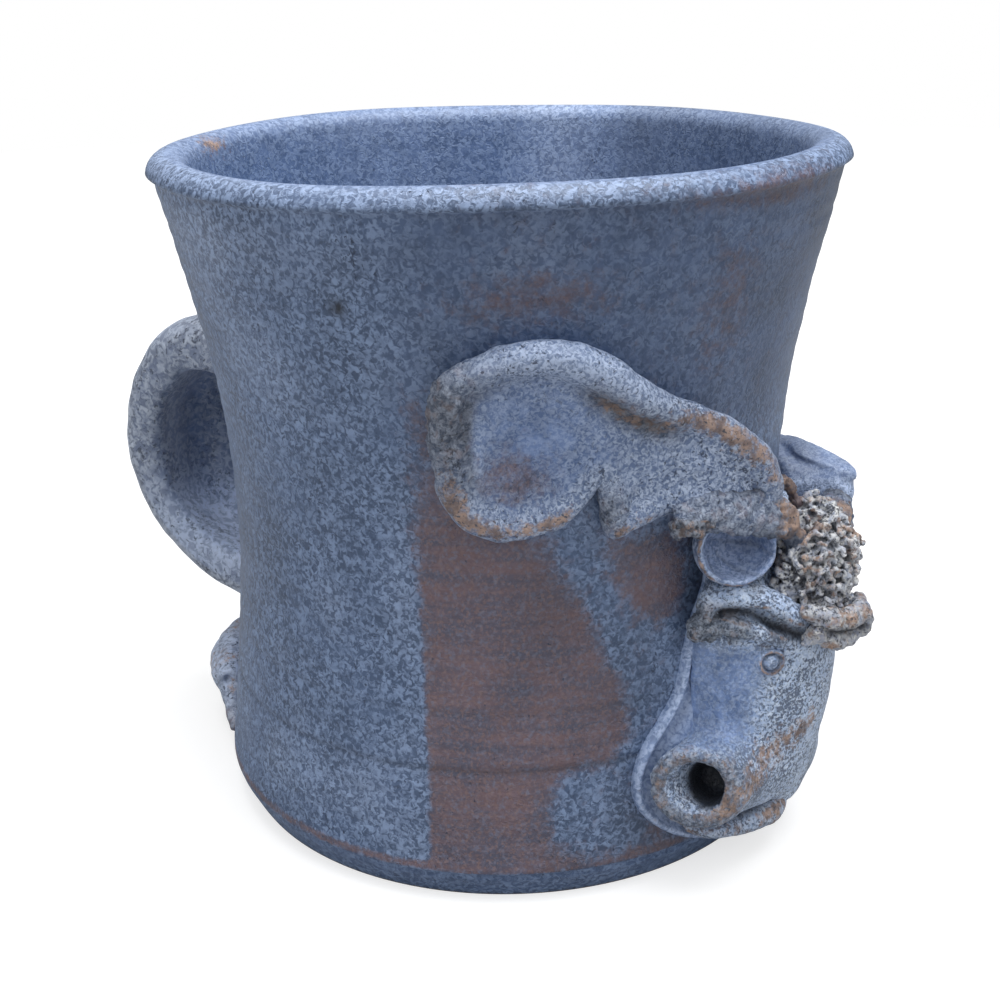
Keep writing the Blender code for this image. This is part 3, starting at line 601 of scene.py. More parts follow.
# The half section, from the middle under the foot out, up, over and in to the middle of the floor
MIDDLE_HOLE = 0.02
FOOT_RING = [
    (MIDDLE_HOLE, 0.9), (12, 0.9), (24, 0.9), (35, 0.9), (37.6, 0.7), (38.6, 0.15), (39.4, 0), (41.5, 0),
    (FOOT_RADIUS - 0.5, 0.0), (FOOT_RADIUS - 0.1, 0.12), (FOOT_RADIUS + 0.12, 0.5),
]
BEVEL_START = (FOOT_RADIUS + 0.2, 0.6)
BEVEL_END = (45.75, FOOT_EDGE_HEIGHT - 0.75)
FOOT_EDGE = [(45.62, FOOT_EDGE_HEIGHT - 0.42), (45.86, FOOT_EDGE_HEIGHT - 0.15)]
LIP_TURN = math.radians(170)
BEVEL_ROWS = 8
OUTSIDE_ROWS = 190
LIP_ROWS = 17
INSIDE_ROWS = 46
CORNER_ROWS = 8
FLOOR_ROWS = 11
CUP_COLUMNS = 300

# The ridges that the potter's fingers left
RING_PITCH = 2.6
RING_DEPTH = 0.05
SWELL_DEPTH = 0.12
# Lines cut as the cup turned: height, depth
CUT_LINES = [(19.9, 0.26), (18.7, 0.12), (28.2, 0.1), (7.0, 0.14), (90.0, 0.12)]
CUT_WIDTH = 0.35
# The two of them that hold black glaze: height, width, darkness
DARK_LINES = [(19.9, 0.45, 0.34), (28.2, 0.5, 0.12)]


def photo_turn(angle):
    """Degrees round the cup from the photograph's middle, between -180 and 180."""
    return (np.degrees(angle) + PHOTO_TURN + 180) % 360 - 180


def cup_rust(turn, height):
    """How thin the glaze lies at places on the cup's outside."""
    total = RUST_EVERYWHERE * step_up(-16, -4, turn) * step_up(100, 60, turn)
    # The panel's left edge is sharp, and it blurs to the right and upwards
    blur = 1.4 + 3.2 * step_up(-14, -4, turn) + 5.0 * step_up(40, 62, height)
    for outline, strength in ((RUST_PANEL, 1.0), (RUST_SIDE, 0.8)):
        distance, _ = along(np.array(outline) * (DEGREE_LENGTH, 1.0), turn * DEGREE_LENGTH, height)
        strength = strength * (1 - 0.32 * step_up(46, 66, height))
        total = np.maximum(total, step_up(1, -1, distance / blur) * strength)
    for middle, level, wide, tall, strength in RUST_PATCHES:
        away = (turn - middle + 180) % 360 - 180
        total = np.maximum(total, strength * blot(away, height, 0, level, wide, tall))
    return total


def cup_section():
    """The cup's half section as rows of radius and height, and 1 for each row of its outside wall."""
    foot = FOOT_RING + list(np.linspace(BEVEL_START, BEVEL_END, BEVEL_ROWS + 2)[1:-1]) + FOOT_EDGE
    heights = np.linspace(FOOT_EDGE_HEIGHT, CUP_HEIGHT - LIP_ROLL, OUTSIDE_ROWS + 1)
    outside = np.stack([wall_radius(heights), heights], 1)
    turn = np.linspace(0, LIP_TURN, LIP_ROWS + 1)[1:]
    middle = (LIP_RADIUS - LIP_ROLL, CUP_HEIGHT - LIP_ROLL)
    lip = np.stack([np.cos(turn), np.sin(turn)], 1) * LIP_ROLL + middle
    corner_height = FLOOR + INSIDE_CORNER
    heights = np.linspace(CUP_HEIGHT - 2 * LIP_ROLL, corner_height, INSIDE_ROWS + 1)
    inside = np.stack([wall_radius(heights) - WALL, heights], 1)
    floor_radius = wall_radius(corner_height) - WALL - INSIDE_CORNER
    turn = np.linspace(0, math.radians(-90), CORNER_ROWS + 1)[1:]
    corner = np.stack([np.cos(turn), np.sin(turn)], 1) * INSIDE_CORNER + (floor_radius, corner_height)
    steps = np.linspace(floor_radius, 0, FLOOR_ROWS + 1)[1:]
    floor = np.stack([steps + MIDDLE_HOLE, np.full(FLOOR_ROWS, FLOOR)], 1)
    rows = [foot, outside, lip, inside, corner, floor]
    wall_rows = np.concatenate([np.full(len(part), float(part is outside)) for part in rows])
    return np.concatenate(rows), wall_rows


def cup():
    """The thrown cup, turned from its half section, with the rings and lines that the wheel left."""
    section, outer = cup_section()
    angle = (np.arange(CUP_COLUMNS) * 2 * math.pi / CUP_COLUMNS)[None, :] + np.zeros((len(section), 1))
    radius, height, outer = (column[:, None] + 0 * angle for column in (*section.T, outer))
    round_place = np.stack([30 * np.sin(angle), 30 * np.cos(angle), height * 3], -1)
    ring = RING_DEPTH * np.sin(height * 2 * math.pi / RING_PITCH) * (0.5 + 0.5 * grain(round_place, 26, 3))
    ring += SWELL_DEPTH * grain(round_place * (0.15, 0.15, 1.0), 9, 5)
    for level, deep in CUT_LINES:
        broken = 0.6 + 0.4 * grain(round_place, 30, int(level))
        ring -= deep * broken * hill(height - level, CUT_WIDTH)
    radius = radius + ring * outer
    # The rim warped a little as it dried
    top_share = step_up(70, CUP_HEIGHT, height)
    radius = radius * (1 + 0.0035 * top_share * np.sin(2 * angle + 0.7) + 0.0015 * np.sin(3 * angle))
    waves = 0.22 * np.sin(2 * angle + 1.9) + 0.12 * np.sin(5 * angle)
    height = height + top_share * waves - top_share * 0.1
    points = round_cup(-angle, radius, height).reshape(-1, 3)
    squares = rings_to_squares(len(section), CUP_COLUMNS)
    turn, height, radius, shown = (v.ravel() for v in (photo_turn(angle), height, radius, outer))
    lip_part = height > CUP_HEIGHT - 2 * LIP_ROLL
    bottom = height < 0.45
    chamfer = (height < FOOT_EDGE_HEIGHT - 0.1) & (height > 0.5) & (radius > 43)
    inner = (shown < 1) & (radius < 47.5) & (height > 2)

    rust = np.where((shown > 0) | lip_part, cup_rust(turn, height), 0.0)
    rust = np.maximum(rust, 0.72 * hill(height - 5.6, 0.9) * shown)
    wear = 0.75 * blot(turn, height, -104, 97.6, 9, 1.6) * (radius < 47.4)
    # Above the antler the glaze is smoother and darker
    upper = shown * step_up(-24, -4, turn) * step_up(150, 100, turn) * step_up(56, 74, height)
    smooth = np.where(inner, 0.48, 0.45 * upper)
    smooth = np.where(chamfer, 0.25, smooth)
    # Painted highlight along the top of the lip, fainter about 50 degrees round
    lip_top_highlight = hill(height - CUP_HEIGHT, 2.4) * (1 - 0.7 * hill(turn - 50, 30))
    # Inside, the side away from the light gets painted shade, with a paler band beside it, high up
    shaded_inside = inner * step_up(156, 146, turn) * step_up(60, 90, turn)
    band = inner * hill(turn - 166, 9) * step_up(70, 84, height)
    # A popped bubble and the dark lines; painted shade inside, away from the light; darker places lower down
    # right of the panel, above the antler and low under the head
    dark = shown * blot(turn, height, -25.2, 84.1, 1.25, 1.0) + 0.3 * shaded_inside + 0.33 * upper
    for level, width, strength in DARK_LINES:
        dark += strength * hill(height - level, width) * shown
    dark += 0.13 * shown * step_up(0, 12, turn) * step_up(80, 60, turn) * step_up(58, 44, height)
    # Painted shadow on the wall beside the ear, between the head and the wall
    dark += 0.5 * shown * blot(turn, height, 41, 44, 5.5, 9)
    dark += 0.16 * shown * step_up(14, 20, turn) * step_up(44, 38, turn) * step_up(22, 17, height)
    # The glaze lies in broad darker and paler clouds, with a pale bloom under the lip
    tone = grain(points, 15, 93) + 0.6 * grain(points * (1.0, 1.0, 0.7), 6, 94)
    dark += 0.2 * shown * step_up(0.0, 1.1, tone)
    bloom = shown * (0.2 * step_up(0.0, -1.1, tone) + 0.16 * blot(turn, height, -45, 91, 26, 5))
    make(
        "thrown_cup", "cup_body", slate, points, squares, smooth=smooth, shade=dark,
        rust=np.where(bottom, 1.0, rust), wear=np.where(bottom, 0.6, wear),
        crest=0.36 * lip_top_highlight + 0.3 * band + bloom * (1 - rust),
    )


# The handle

HANDLE_AZIMUTH = math.radians(-169)
HANDLE_TOP = 63.2
HANDLE_BOTTOM = 25.0
HANDLE_REACH = 65.3
HANDLE_WIDTH = 19.0
HANDLE_WIDTH_LOW = 17.0
HANDLE_THICKNESS = 9.6
HANDLE_ROWS = 130
HANDLE_COLUMNS = 72
# The strap's section lies between an oval, at 1, and a square, at 0
STRAP_ROUNDNESS = 0.72
# Its inner face is a thumb's hollow between two thick edges, the far one thicker
THUMB_HOLLOW = 1.9
NEAR_EDGE = 0.6
FAR_EDGE = 3.8
OUTER_HOLLOW = 0.35


def handle():
    """A pulled strap of clay, swept down its bow and let into the wall at both ends."""
    inside_wall = WAIST_RADIUS - WALL / 2
    middle = (HANDLE_TOP + HANDLE_BOTTOM) / 2
    drop = HANDLE_TOP - HANDLE_BOTTOM
    bow = HANDLE_REACH - WAIST_RADIUS
    # Share of the way down, distance from the axis, height
    line = [
        (0.0, inside_wall, HANDLE_TOP),
        (0.2, WAIST_RADIUS + 0.55 * bow, HANDLE_TOP + 1.0),
        (0.35, WAIST_RADIUS + 0.9 * bow, middle + 0.33 * drop),
        (0.5, HANDLE_REACH, middle + 0.04 * drop),
        (0.65, WAIST_RADIUS + 0.86 * bow, middle - 0.26 * drop),
        (0.8, WAIST_RADIUS + 0.48 * bow, middle - 0.46 * drop),
        (1.0, inside_wall, HANDLE_BOTTOM - 0.03 * drop),
    ]
    out = np.array([math.sin(HANDLE_AZIMUTH), -math.cos(HANDLE_AZIMUTH), 0.0])
    side = np.array([-out[1], out[0], 0.0])
    up = np.array([0.0, 0.0, 1.0])
    turn = 2 * math.pi * np.arange(HANDLE_COLUMNS) / HANDLE_COLUMNS
    c, s = np.cos(turn), np.sin(turn)
    broad = np.sign(c) * np.abs(c) ** STRAP_ROUNDNESS / 2
    deep = np.sign(s) * np.abs(s) ** STRAP_ROUNDNESS / 2
    rows, inner = [], []
    for k in range(HANDLE_ROWS):
        t = k / (HANDLE_ROWS - 1)
        here = smooth_through(line, t)
        ahead, behind = smooth_through(line, min(1.0, t + 0.01)), smooth_through(line, max(0.0, t - 0.01))
        run = np.array([ahead[0] - behind[0], ahead[1] - behind[1]])
        run /= np.linalg.norm(run)
        flare = 1 + 0.3 * hill(t - 0.03, 0.09) + 0.42 * hill(1 - t, 0.11)
        width = (HANDLE_WIDTH + (HANDLE_WIDTH_LOW - HANDLE_WIDTH) * t) * (1 + 0.25 * (flare - 1))
        across = width * broad
        hollow = THUMB_HOLLOW * hill(across, width * 0.34) - NEAR_EDGE * step_up(0.3, 0.46, across / width)
        hollow = hollow - FAR_EDGE * step_up(-0.1, -0.4, across / width) * hill(t - 0.52, 0.3)
        thick = HANDLE_THICKNESS * flare * deep
        thick += np.where(s < 0, hollow, -OUTER_HOLLOW * hill(across, width * 0.28))
        middle_line = out * (here[0] - run[1] * thick)[:, None] + up * (here[1] + run[0] * thick)[:, None]
        rows.append(middle_line + side * across[:, None])
        inner.append((s < 0.1) * hill(across, width * 0.5))
    points = np.concatenate(rows)
    squares = rings_to_squares(HANDLE_ROWS, HANDLE_COLUMNS)
    lump = 0.3 * grain(points, 8, 11) + 0.14 * grain(points, 2.6, 12)
    points = points + normals_of(points, squares) * lump[:, None]
    inner = np.concatenate(inner)
    height = points[:, 2]
    # Darker glaze and painted shade high in the hollow of the strap's inner face
    dark = inner * step_up(60, 54, height) * step_up(33, 41, height)
    make(
        "pulled_handle", "handle_strap", grey, points, squares, smooth=0.6 * inner, shade=0.16 * dark,
        crest=1.8 * inner * hill(height - 30, 8) + 0.12 * (1 - inner),
    )


SCROLL_HEIGHT = 9.4
SCROLL_RADIUS = 6.2
SCROLL_CLAY = 2.9
SCROLL_WIDTH = 36.0
SCROLL_TAIL = 5.0
SCROLL_SUNK = 1.0
SCROLL_LIFT = 0.9
SCROLL_TURN = math.radians(330)
SCROLL_STEPS = 30
SCROLL_WRAP_RADIUS = 45.9
# Its near end, drawn out along the wall: along it, height, out from the wall, radius
SCROLL_DRAWN = [(9, 10.5, 4.2, 3.2), (14, 9.4, 3.0, 2.6), (19, 6.6, 1.2, 1.6), (24, 5.0, 0.2, 0.9)]


def scroll():
    """A strip of clay rolled up under the handle's seat."""
    outer = SCROLL_RADIUS - SCROLL_CLAY / 2
    inner = SCROLL_CLAY * 0.64
    line = [(-outer, SCROLL_TAIL), (-outer, SCROLL_TAIL / 2)]
    for k in range(SCROLL_STEPS + 1):
        t = k / SCROLL_STEPS
        angle = math.pi + SCROLL_TURN * t
        radius = outer + (inner - outer) * t**1.15
        line.append((radius * math.cos(angle), radius * math.sin(angle)))
    half = SCROLL_WIDTH / 2

    def field(a, u, w):
        taper = 1.0 - 0.5 * np.clip(np.abs(a / half), 0, 1) ** 2.2
        x = (w - SCROLL_RADIUS * taper + SCROLL_SUNK) / taper
        y = (u - SCROLL_HEIGHT - SCROLL_LIFT) / taper
        strip = (beside(line, x, y) - SCROLL_CLAY / 2 + 0.1) * taper
        strip = cut(strip, np.abs(a) - half, 1.2)
        drawn = coil(a, u, w, SCROLL_DRAWN)
        return cut(joined(strip, drawn, 1.2), np.maximum(-0.5 - w, 1.4 - u), 0.3)

    points, squares = skin(field, (-20, 0.6, -1.6), (29.5, 19, 14), 0.4)
    points = roughened(points, squares, 0.3 * grain(points, 3.2, 21) + 0.16 * grain(points, 1.2, 22))
    a, u, w = points.T
    place = round_cup(-HANDLE_AZIMUTH - a / SCROLL_WRAP_RADIUS, wall_radius(u) + w, u)
    low = step_up(9, 5, u)
    make(
        "rolled_tail", "handle_scroll", grey, place, squares,
        wear=0.3 + 0.35 * grain(points, 4.0, 27), rust=0.6 * low, crest=0.6 * (1 - low),
    )


# Plaque, head, jaw, brows and eyes

# Up the head, half width
PLAQUE_EDGE = [
    (-26.2, 4), (-25, 11.8), (-22.6, 17), (-19.9, 20), (-17, 21.1), (-13.7, 21), (-10.3, 19.9),
    (-6.2, 17.6), (-2.7, 16), (2.2, 15.4), (7.1, 14.6), (11.3, 13.4), (18, 13.2), (22.4, 11.6), (24.6, 7),
]
# Its rolled rim's middle lies this far inside its edge
PLAQUE_RIM = 0.65


def plaque():
    right = [(half, up) for up, half in PLAQUE_EDGE]
    outline = flowing(right + [(-half, up) for half, up in right[::-1]], 3)

    def field(a, u, w):
        edge, _ = along(outline, a[:, :, 0], u[:, :, 0])
        edge = edge[..., None]
        top = 0.85 + 1.0 * step_up(-1.2, -4.0, edge) + 0.65 * hill(edge + PLAQUE_RIM, 0.5)
        return cut(cut(w - top, -0.6 - w, 0.2), edge, 0.5)

    points, squares = skin(field, (-23, -28, -1.5), (23, 26.5, 4), 0.34)
    a, u, w = points.T
    edge, _ = along(outline, a, u)
    rim = hill(edge + PLAQUE_RIM, 0.5)
    # Painted shade in the groove just inside the rolled rim
    make(
        "head_slab", "head_plaque", slate, on_wall(a, u, w + 0.12 * grain(points, 5, 31)), squares,
        smooth=0.7, wear=0.3 * rim * (u < -12), crest=0.5 + 0.45 * rim, shade=0.35 * hill(edge + 2.2, 0.8),
    )


# Up the head, shares of its half width and of its depth
FACE_SECTIONS = [
    (-19.5, 0.76, 0.3), (-14, 0.87, 0.56), (-9.5, 0.93, 0.76), (-4.5, 0.97, 0.9), (1, 1, 0.97),
    (6, 0.98, 1), (10, 0.95, 0.86), (14, 0.91, 0.46), (18, 0.86, 0.22), (21.4, 0.76, 0.18),
    (23.8, 0.4, 0.12),
]
FACE_HALF_WIDTH = 15.0
FACE_DEPTH = 9.6
FACE_EDGE = 0.6
MUZZLE_UP = -14.6
MUZZLE_MIDDLE_OUT = 46.0
MUZZLE_RADIUS = 6.1
# Which side, how far across its end lies, how far forward, and its share of the radius there
MUZZLE_RIGHT = (1, 19.2, 46.9, 1.0)
MUZZLE_LEFT = (-1, 15.6, 44.8, 0.86)
MUZZLE_END_TURN = math.tan(math.radians(27))
CHIN_MIDDLE = (-4.5, -19.5, 47.5)
CHIN_RADII = (5.4, 4.0, 4.0)
NOSTRIL_RADIUS = 3.2
NOSTRIL_DEPTH = 7.0
face_table = lookup(FACE_SECTIONS)


def muzzle(across):
    """How far across its end lies, how far forward its middle line lies there, and its radius."""
    _, reach, out, taper = (np.where(across > 0, *both) for both in zip(MUZZLE_RIGHT, MUZZLE_LEFT))
    share = np.clip(across / reach, -1, 1) ** 2
    axis = MUZZLE_MIDDLE_OUT + (out - MUZZLE_MIDDLE_OUT) * share
    return reach, axis, MUZZLE_RADIUS * (1 + (taper - 1) * share)


def face_forward(across, up):
    """How far forward the face's surface lies."""
    half, depth = face_table(np.asarray(float(up)))
    t = min(1.0, abs(across) / (half * FACE_HALF_WIDTH))
    return float(seat(across, up)) + depth * FACE_DEPTH * math.sqrt(1 - t * t) + FACE_EDGE


def head_field(a, u, w):
    half, depth = face_table(u)
    q = w - seat(a, u)
    face = oval((a, q), (half * FACE_HALF_WIDTH, depth * FACE_DEPTH + FACE_EDGE - 0.2))
    face = cut(face, np.maximum(u - 23.6, -19.0 - u), 2.0)
    _, axis, radius = muzzle(a)
    roll = np.hypot(u - MUZZLE_UP, w - axis) - radius
    ends = []
    for side, reach, *_ in (MUZZLE_RIGHT, MUZZLE_LEFT):
        ends.append((side * a + MUZZLE_END_TURN * (w - axis) - reach) / math.hypot(1, MUZZLE_END_TURN))
    roll = cut(roll, np.maximum(*ends), 2.4)
    both = joined(face, roll, 3.6)
    # Past its middle the lower lip runs smoothly up into the muzzle
    both = joined(both, cut(egg(a, u, w, CHIN_MIDDLE, CHIN_RADII), -22.0 - u, 1.0), 1.6)
    # A soft hollow under each eye, stroked in towards the muzzle, and a low ridge between the two
    both = both + 0.7 * blot(np.abs(a), u, 13.0, -2.5, 5.0, 5.0 / 0.7)
    both = both - 0.5 * blot(a, u, 0.0, 3.0, 5.0, 10.0)
    for side, reach, out, taper in (MUZZLE_RIGHT, MUZZLE_LEFT):
        deep = reach - side * a
        hole_radius = NOSTRIL_RADIUS * taper * (1.03 - 0.26 * step_up(0, 5.5, deep))
        hole = np.hypot(u - MUZZLE_UP - 0.3, w - out - 0.2) - hole_radius
        both = cut(both, -cut(hole, deep - NOSTRIL_DEPTH, 2.0), 1.7)
    return cut(both, -1.5 - q, 0.3)


# Across, up, off the face, radius
UPPER_FOLD = [
    (15.8, 5.4, -0.4, 1), (15.8, 8.4, 0.3, 1.4), (14.8, 10.9, 0.8, 1.7), (12.6, 11.9, 1.1, 2),
    (10.6, 10.9, 1.1, 2), (8.6, 9.7, 1, 1.9), (6.6, 8.8, 0.8, 1.6), (4.4, 8, 0.5, 1.3), (2.4, 7.4, 0, 1),
]
LOWER_FOLD = [
    (15, 6.6, -0.4, 1.3), (13, 7.2, -0.2, 1.5), (10.8, 6.7, -0.2, 1.15), (8.4, 5.8, -0.3, 0.9),
    (6.2, 5.2, -0.4, 0.7),
]
BROW_SLOT = [
    (14.2, 9.2, 1.2, 0.4), (12.7, 9.6, 1.3, 0.9), (11.5, 8.9, 1.3, 1), (10.2, 8, 1.2, 0.95),
    (8.2, 7.1, 1, 0.75), (6.4, 6.6, 0.4, 0.35),
]
# Its pale ridge: places across, and how far up it is there
BROW_RIDGE = ((2.4, 6.6, 10.6, 12.6, 15.8), (8.4, 9.8, 12.0, 12.8, 12.0))


def fold_line(knots, side):
    """A coil led over the face."""
    line = smooth_line(knots)
    return [(side * a, u, face_forward(side * a, u) + off, radius) for a, u, off, radius in line]


def brow(side, label):
    upper, lower, slot = (fold_line(knots, side) for knots in (UPPER_FOLD, LOWER_FOLD, BROW_SLOT))

    def field(a, u, w):
        folds = joined(coil(a, u, w, upper), coil(a, u, w, lower), 0.3)
        ground = head_field(a, u, w)
        skinned = cut(joined(ground, folds, 1.1), folds - 0.9, 0.2)
        opening = np.maximum(coil(a, u, w, slot), 0.25 - ground)
        return cut(cut(skinned, -opening, 0.35), -0.9 - ground, 0.2)

    start, end = (0.0, 19.0) if side > 0 else (-19.0, 0.0)
    points, squares = skin(field, (start, 2.0, 41.0), (end, 16.0, 60.0), 0.26)
    out = np.abs(points[:, 0])
    away = beside([(a, u) for a, u, _, _ in smooth_line(BROW_SLOT)], out, points[:, 1])
    rough = step_up(12.0, 14.2, out) * step_up(11.5, 9.0, points[:, 1])
    bump = rough * 0.5 * crumble(points, 1.5, 41) + 0.16 * crumble(points, 1.5, 42)
    points = roughened(points, squares, bump)
    ridge = hill(points[:, 1] - np.interp(out, *BROW_RIDGE), 1.3)
    # Painted shade in the slot under the upper fold
    make(
        "brow_fold_" + label, "brow_" + label, pale, at_head(*points.T), squares,
        crumb=0.9 * rough + 0.5 * step_up(0.1, 0.7, grain(points, 3.0, 43)), crest=0.3 * ridge * (out < 14),
        wear=0.5 * hill(away - 1.2, 0.4), shade=0.9 * hill(away, 0.8),
    )


def head():
    points, squares = skin(head_field, (-19.5, -23, 37), (23, 25.5, 60), 0.36)
    a, u, w = points.T
    reach, axis, _ = muzzle(a)
    ring = np.hypot(u - MUZZLE_UP, w - axis)
    bump = 0.1 * grain(points, 2.6, 51) + 0.05 * grain(points, 1.2, 52)
    bump = bump + 0.18 * (np.abs(ring - 4.8) < 1.8) * (np.abs(a) > 13) * crumble(points, 1.1, 53)
    points = roughened(points, squares, bump)
    cheek = step_up(8.5, 12.0, np.abs(a)) * step_up(6, 3, u) * step_up(-11.5, -7.5, u)
    # The rough, bare disc round each nostril, and a bare streak down the muzzle
    disc = step_up(3.0, 3.6, ring) * step_up(6.6, 5.2, ring) * (np.abs(a) > 13.0)
    streak = hill((u + 7.3) + 0.62 * (a - 2.0), 4.4) * step_up(-4, 2, a) * step_up(19.5, 17, a) * (u > -20)
    # Inside a nostril, painted shade darkens with the depth
    deep = reach + MUZZLE_END_TURN * (w - axis) - np.abs(a)
    inside = (ring < 3.6) & (u < -9) & (deep < 8.5)
    make(
        "moose_face", "moose_head", pale, at_head(*points.T), squares,
        smooth=np.maximum(cheek, 0.35 * disc), rust=0.2 * disc,
        wear=np.where(inside, 0.0, np.maximum(0.4 * disc, 0.64 * streak)),
        crumb=np.where(inside, 0.3, np.maximum(0.8 * disc, 0.04) * (1 - cheek)),
        shade=0.97 * inside * step_up(0.6, 3.2, deep - 0.8 * (ring - 2.6)),
    )


JAW_TOP = -20.3
JAW_DROP = 4.6
JAW_HALF_WIDTH = 9.9
JAW_SHIFT = 4.3
JAW_DEPTH = 3.5
# How steeply it climbs to its far side
JAW_SLOPE = 0.1


def jaw():
    def field(a, u, w):
        place = np.clip((a - JAW_SHIFT) / JAW_HALF_WIDTH, -1, 1)
        round_off = (1 - np.abs(place) ** 3) ** (1 / 3)
        high = JAW_TOP - 0.9 * place**2 + JAW_SLOPE * (JAW_SHIFT - a) + 1.9 * step_up(1, -5, a)
        low = JAW_TOP - 0.9 * JAW_DROP * (0.35 + 0.65 * round_off)
        depth = JAW_DEPTH * (0.3 + 0.7 * round_off) + 0.5 - 0.8 * step_up(0, -5, a)
        q = w - seat(a, u)
        lip = oval((u - (high + low) / 2, q), ((high - low) / 2 + 0.3, depth))
        lip = cut(lip, np.abs(a - JAW_SHIFT) - JAW_HALF_WIDTH, 1.5)
        return cut(lip, -0.8 - q, 0.3)

    points, squares = skin(field, (-13, -28, 38), (17, -19, 56), 0.3)
    points = roughened(points, squares, 0.14 * grain(points, 2.2, 61) + 0.08 * grain(points, 0.9, 62))
    a, u, _ = points.T
    # Painted shade: the dark line under the muzzle, where it meets the lower lip
    under = step_up(-21.4, -20.4, u - JAW_SLOPE * (JAW_SHIFT - a)) * step_up(-2, 2, a)
    wear = np.clip(0.42 + 0.35 * grain(points, 4.0, 63), 0, 1) * (1 - under)
    make(
        "lower_lip", "lower_jaw", pale, at_head(*points.T), squares,
        wear=wear, rust=0.3, crumb=0.3, shade=0.7 * under,
    )


EYE_ACROSS = 10.1
EYE_UP = 2.8
EYE_RADIUS = 1.75
# A pellet pressed with a ring stamp, a low dome, a groove and a rim: shares of its radius, out and up
EYE_PROFILE = np.array([
    (0, 0.34), (0.25, 0.3), (0.46, 0.18), (0.58, 0), (0.66, -0.14), (0.73, -0.14), (0.8, 0.04), (0.9, 0.16),
    (1, 0.16), (1.08, 0.04), (1.16, -0.2), (1.2, -0.9),
])
EYE_COLUMNS = 48
# The face's slope is measured over this much
EYE_SPAN = 0.2


def eye(side, label):
    across = side * EYE_ACROSS
    here, over, above = (
        at_head(np.array(a), np.array(u), np.array(face_forward(a, u)))
        for a, u in ((across, EYE_UP), (across + EYE_SPAN, EYE_UP), (across, EYE_UP + EYE_SPAN))
    )
    out = np.cross(above - here, over - here)
    out /= np.linalg.norm(out)
    out = out if out[1] < 0 else -out
    right = np.cross(above - here, out)
    right /= np.linalg.norm(right)
    other = np.cross(out, right)
    angle = np.arange(EYE_COLUMNS) * 2 * math.pi / EYE_COLUMNS
    uneven = 1 + 0.04 * np.sin(2 * angle + 1) + 0.03 * np.sin(3 * angle)
    rows = []
    for radius, lift in EYE_PROFILE * EYE_RADIUS:
        flat = (radius + MIDDLE_HOLE) * uneven
        spokes = right * (flat * np.cos(angle))[:, None] + other * (flat * np.sin(angle))[:, None]
        rows.append(here + spokes + out * lift)
    far = np.repeat(EYE_PROFILE[:, 0], EYE_COLUMNS)
    make(
        "eye_pellet_" + label, "eye_" + label, pale, np.concatenate(rows),
        rings_to_squares(len(EYE_PROFILE), EYE_COLUMNS),
        smooth=0.5, wear=0.8 * hill(far - 0.9, 0.2), shade=0.5 * hill(far - 0.7, 0.1),
    )


# Ears and antlers

ANTLER_ROOT = (13.0, 27.0)
LEFT_DROOP = math.radians(17)
LEFT_DROP = 3.2


def hung(side, across, up):
    """Places of an antler or ear in the head's directions. The left ones droop about the antler's root."""
    if side > 0:
        return across, up
    x, y = across - ANTLER_ROOT[0], up - ANTLER_ROOT[1]
    c, s = math.cos(LEFT_DROOP), math.sin(LEFT_DROOP)
    return -(ANTLER_ROOT[0] + x * c + y * s), ANTLER_ROOT[1] - x * s + y * c - LEFT_DROP


EAR_MIDDLE = np.array([15.4, 18.6, 46.2])
EAR_RADII = (6.2, 5.3, 5.4)
EAR_OPENING = np.array([0.66, -0.05, 0.75])
EAR_MOUTH = 2.1
EAR_HOLLOW_MIDDLE = EAR_MIDDLE + 1.3 * EAR_OPENING
EAR_HOLLOW_RADII = (5.0, 4.3, 4.9)
# Across, up, forward, radius
EAR_FLAP = [
    (24.6, 22.3, 43, 1.3), (20.6, 22.9, 45.4, 1.9), (16, 22.8, 47.9, 2.1), (12, 22.4, 49.6, 1.9),
    (8.8, 21.2, 50.8, 1.5), (7.3, 19, 51.2, 1.1), (7.8, 16.8, 50.9, 0.8),
]
EAR_BACK = [
    (24, 23.6, 43.2, 1.3), (20, 24.8, 45, 1.9), (16, 25.2, 46.8, 2.1), (12, 24.8, 48.2, 1.9),
    (9.2, 23.4, 49.4, 1.4),
]
EAR_NUB = [(22.4, 22.4, 44.2, 1.3), (24.2, 21.7, 43.6, 1.3), (25.2, 21.2, 42.6, 0.9)]
ear_flap, ear_back = smooth_line(EAR_FLAP), smooth_line(EAR_BACK)


def ear_parts(a, u, w):
    """The distances to the ear's folded top, to the nub at its far end and to the hollow in its bowl."""
    top = joined(coil(a, u, w, ear_flap), coil(a, u, w, ear_back), 2.2)
    return top, coil(a, u, w, EAR_NUB), egg(a, u, w, EAR_HOLLOW_MIDDLE, EAR_HOLLOW_RADII)


def ear_field(a, u, w):
    top, nub, hollow = ear_parts(a, u, w)
    shift = zip((a, u, w), EAR_MIDDLE, EAR_OPENING)
    mouth = sum((v - middle) * facing for v, middle, facing in shift) - EAR_MOUTH
    bowl = cut(egg(a, u, w, EAR_MIDDLE, EAR_RADII), mouth, 1.0)
    bowl = joined(cut(bowl, -hollow, 0.7), nub, 0.8)
    return joined(bowl, top, 0.9)


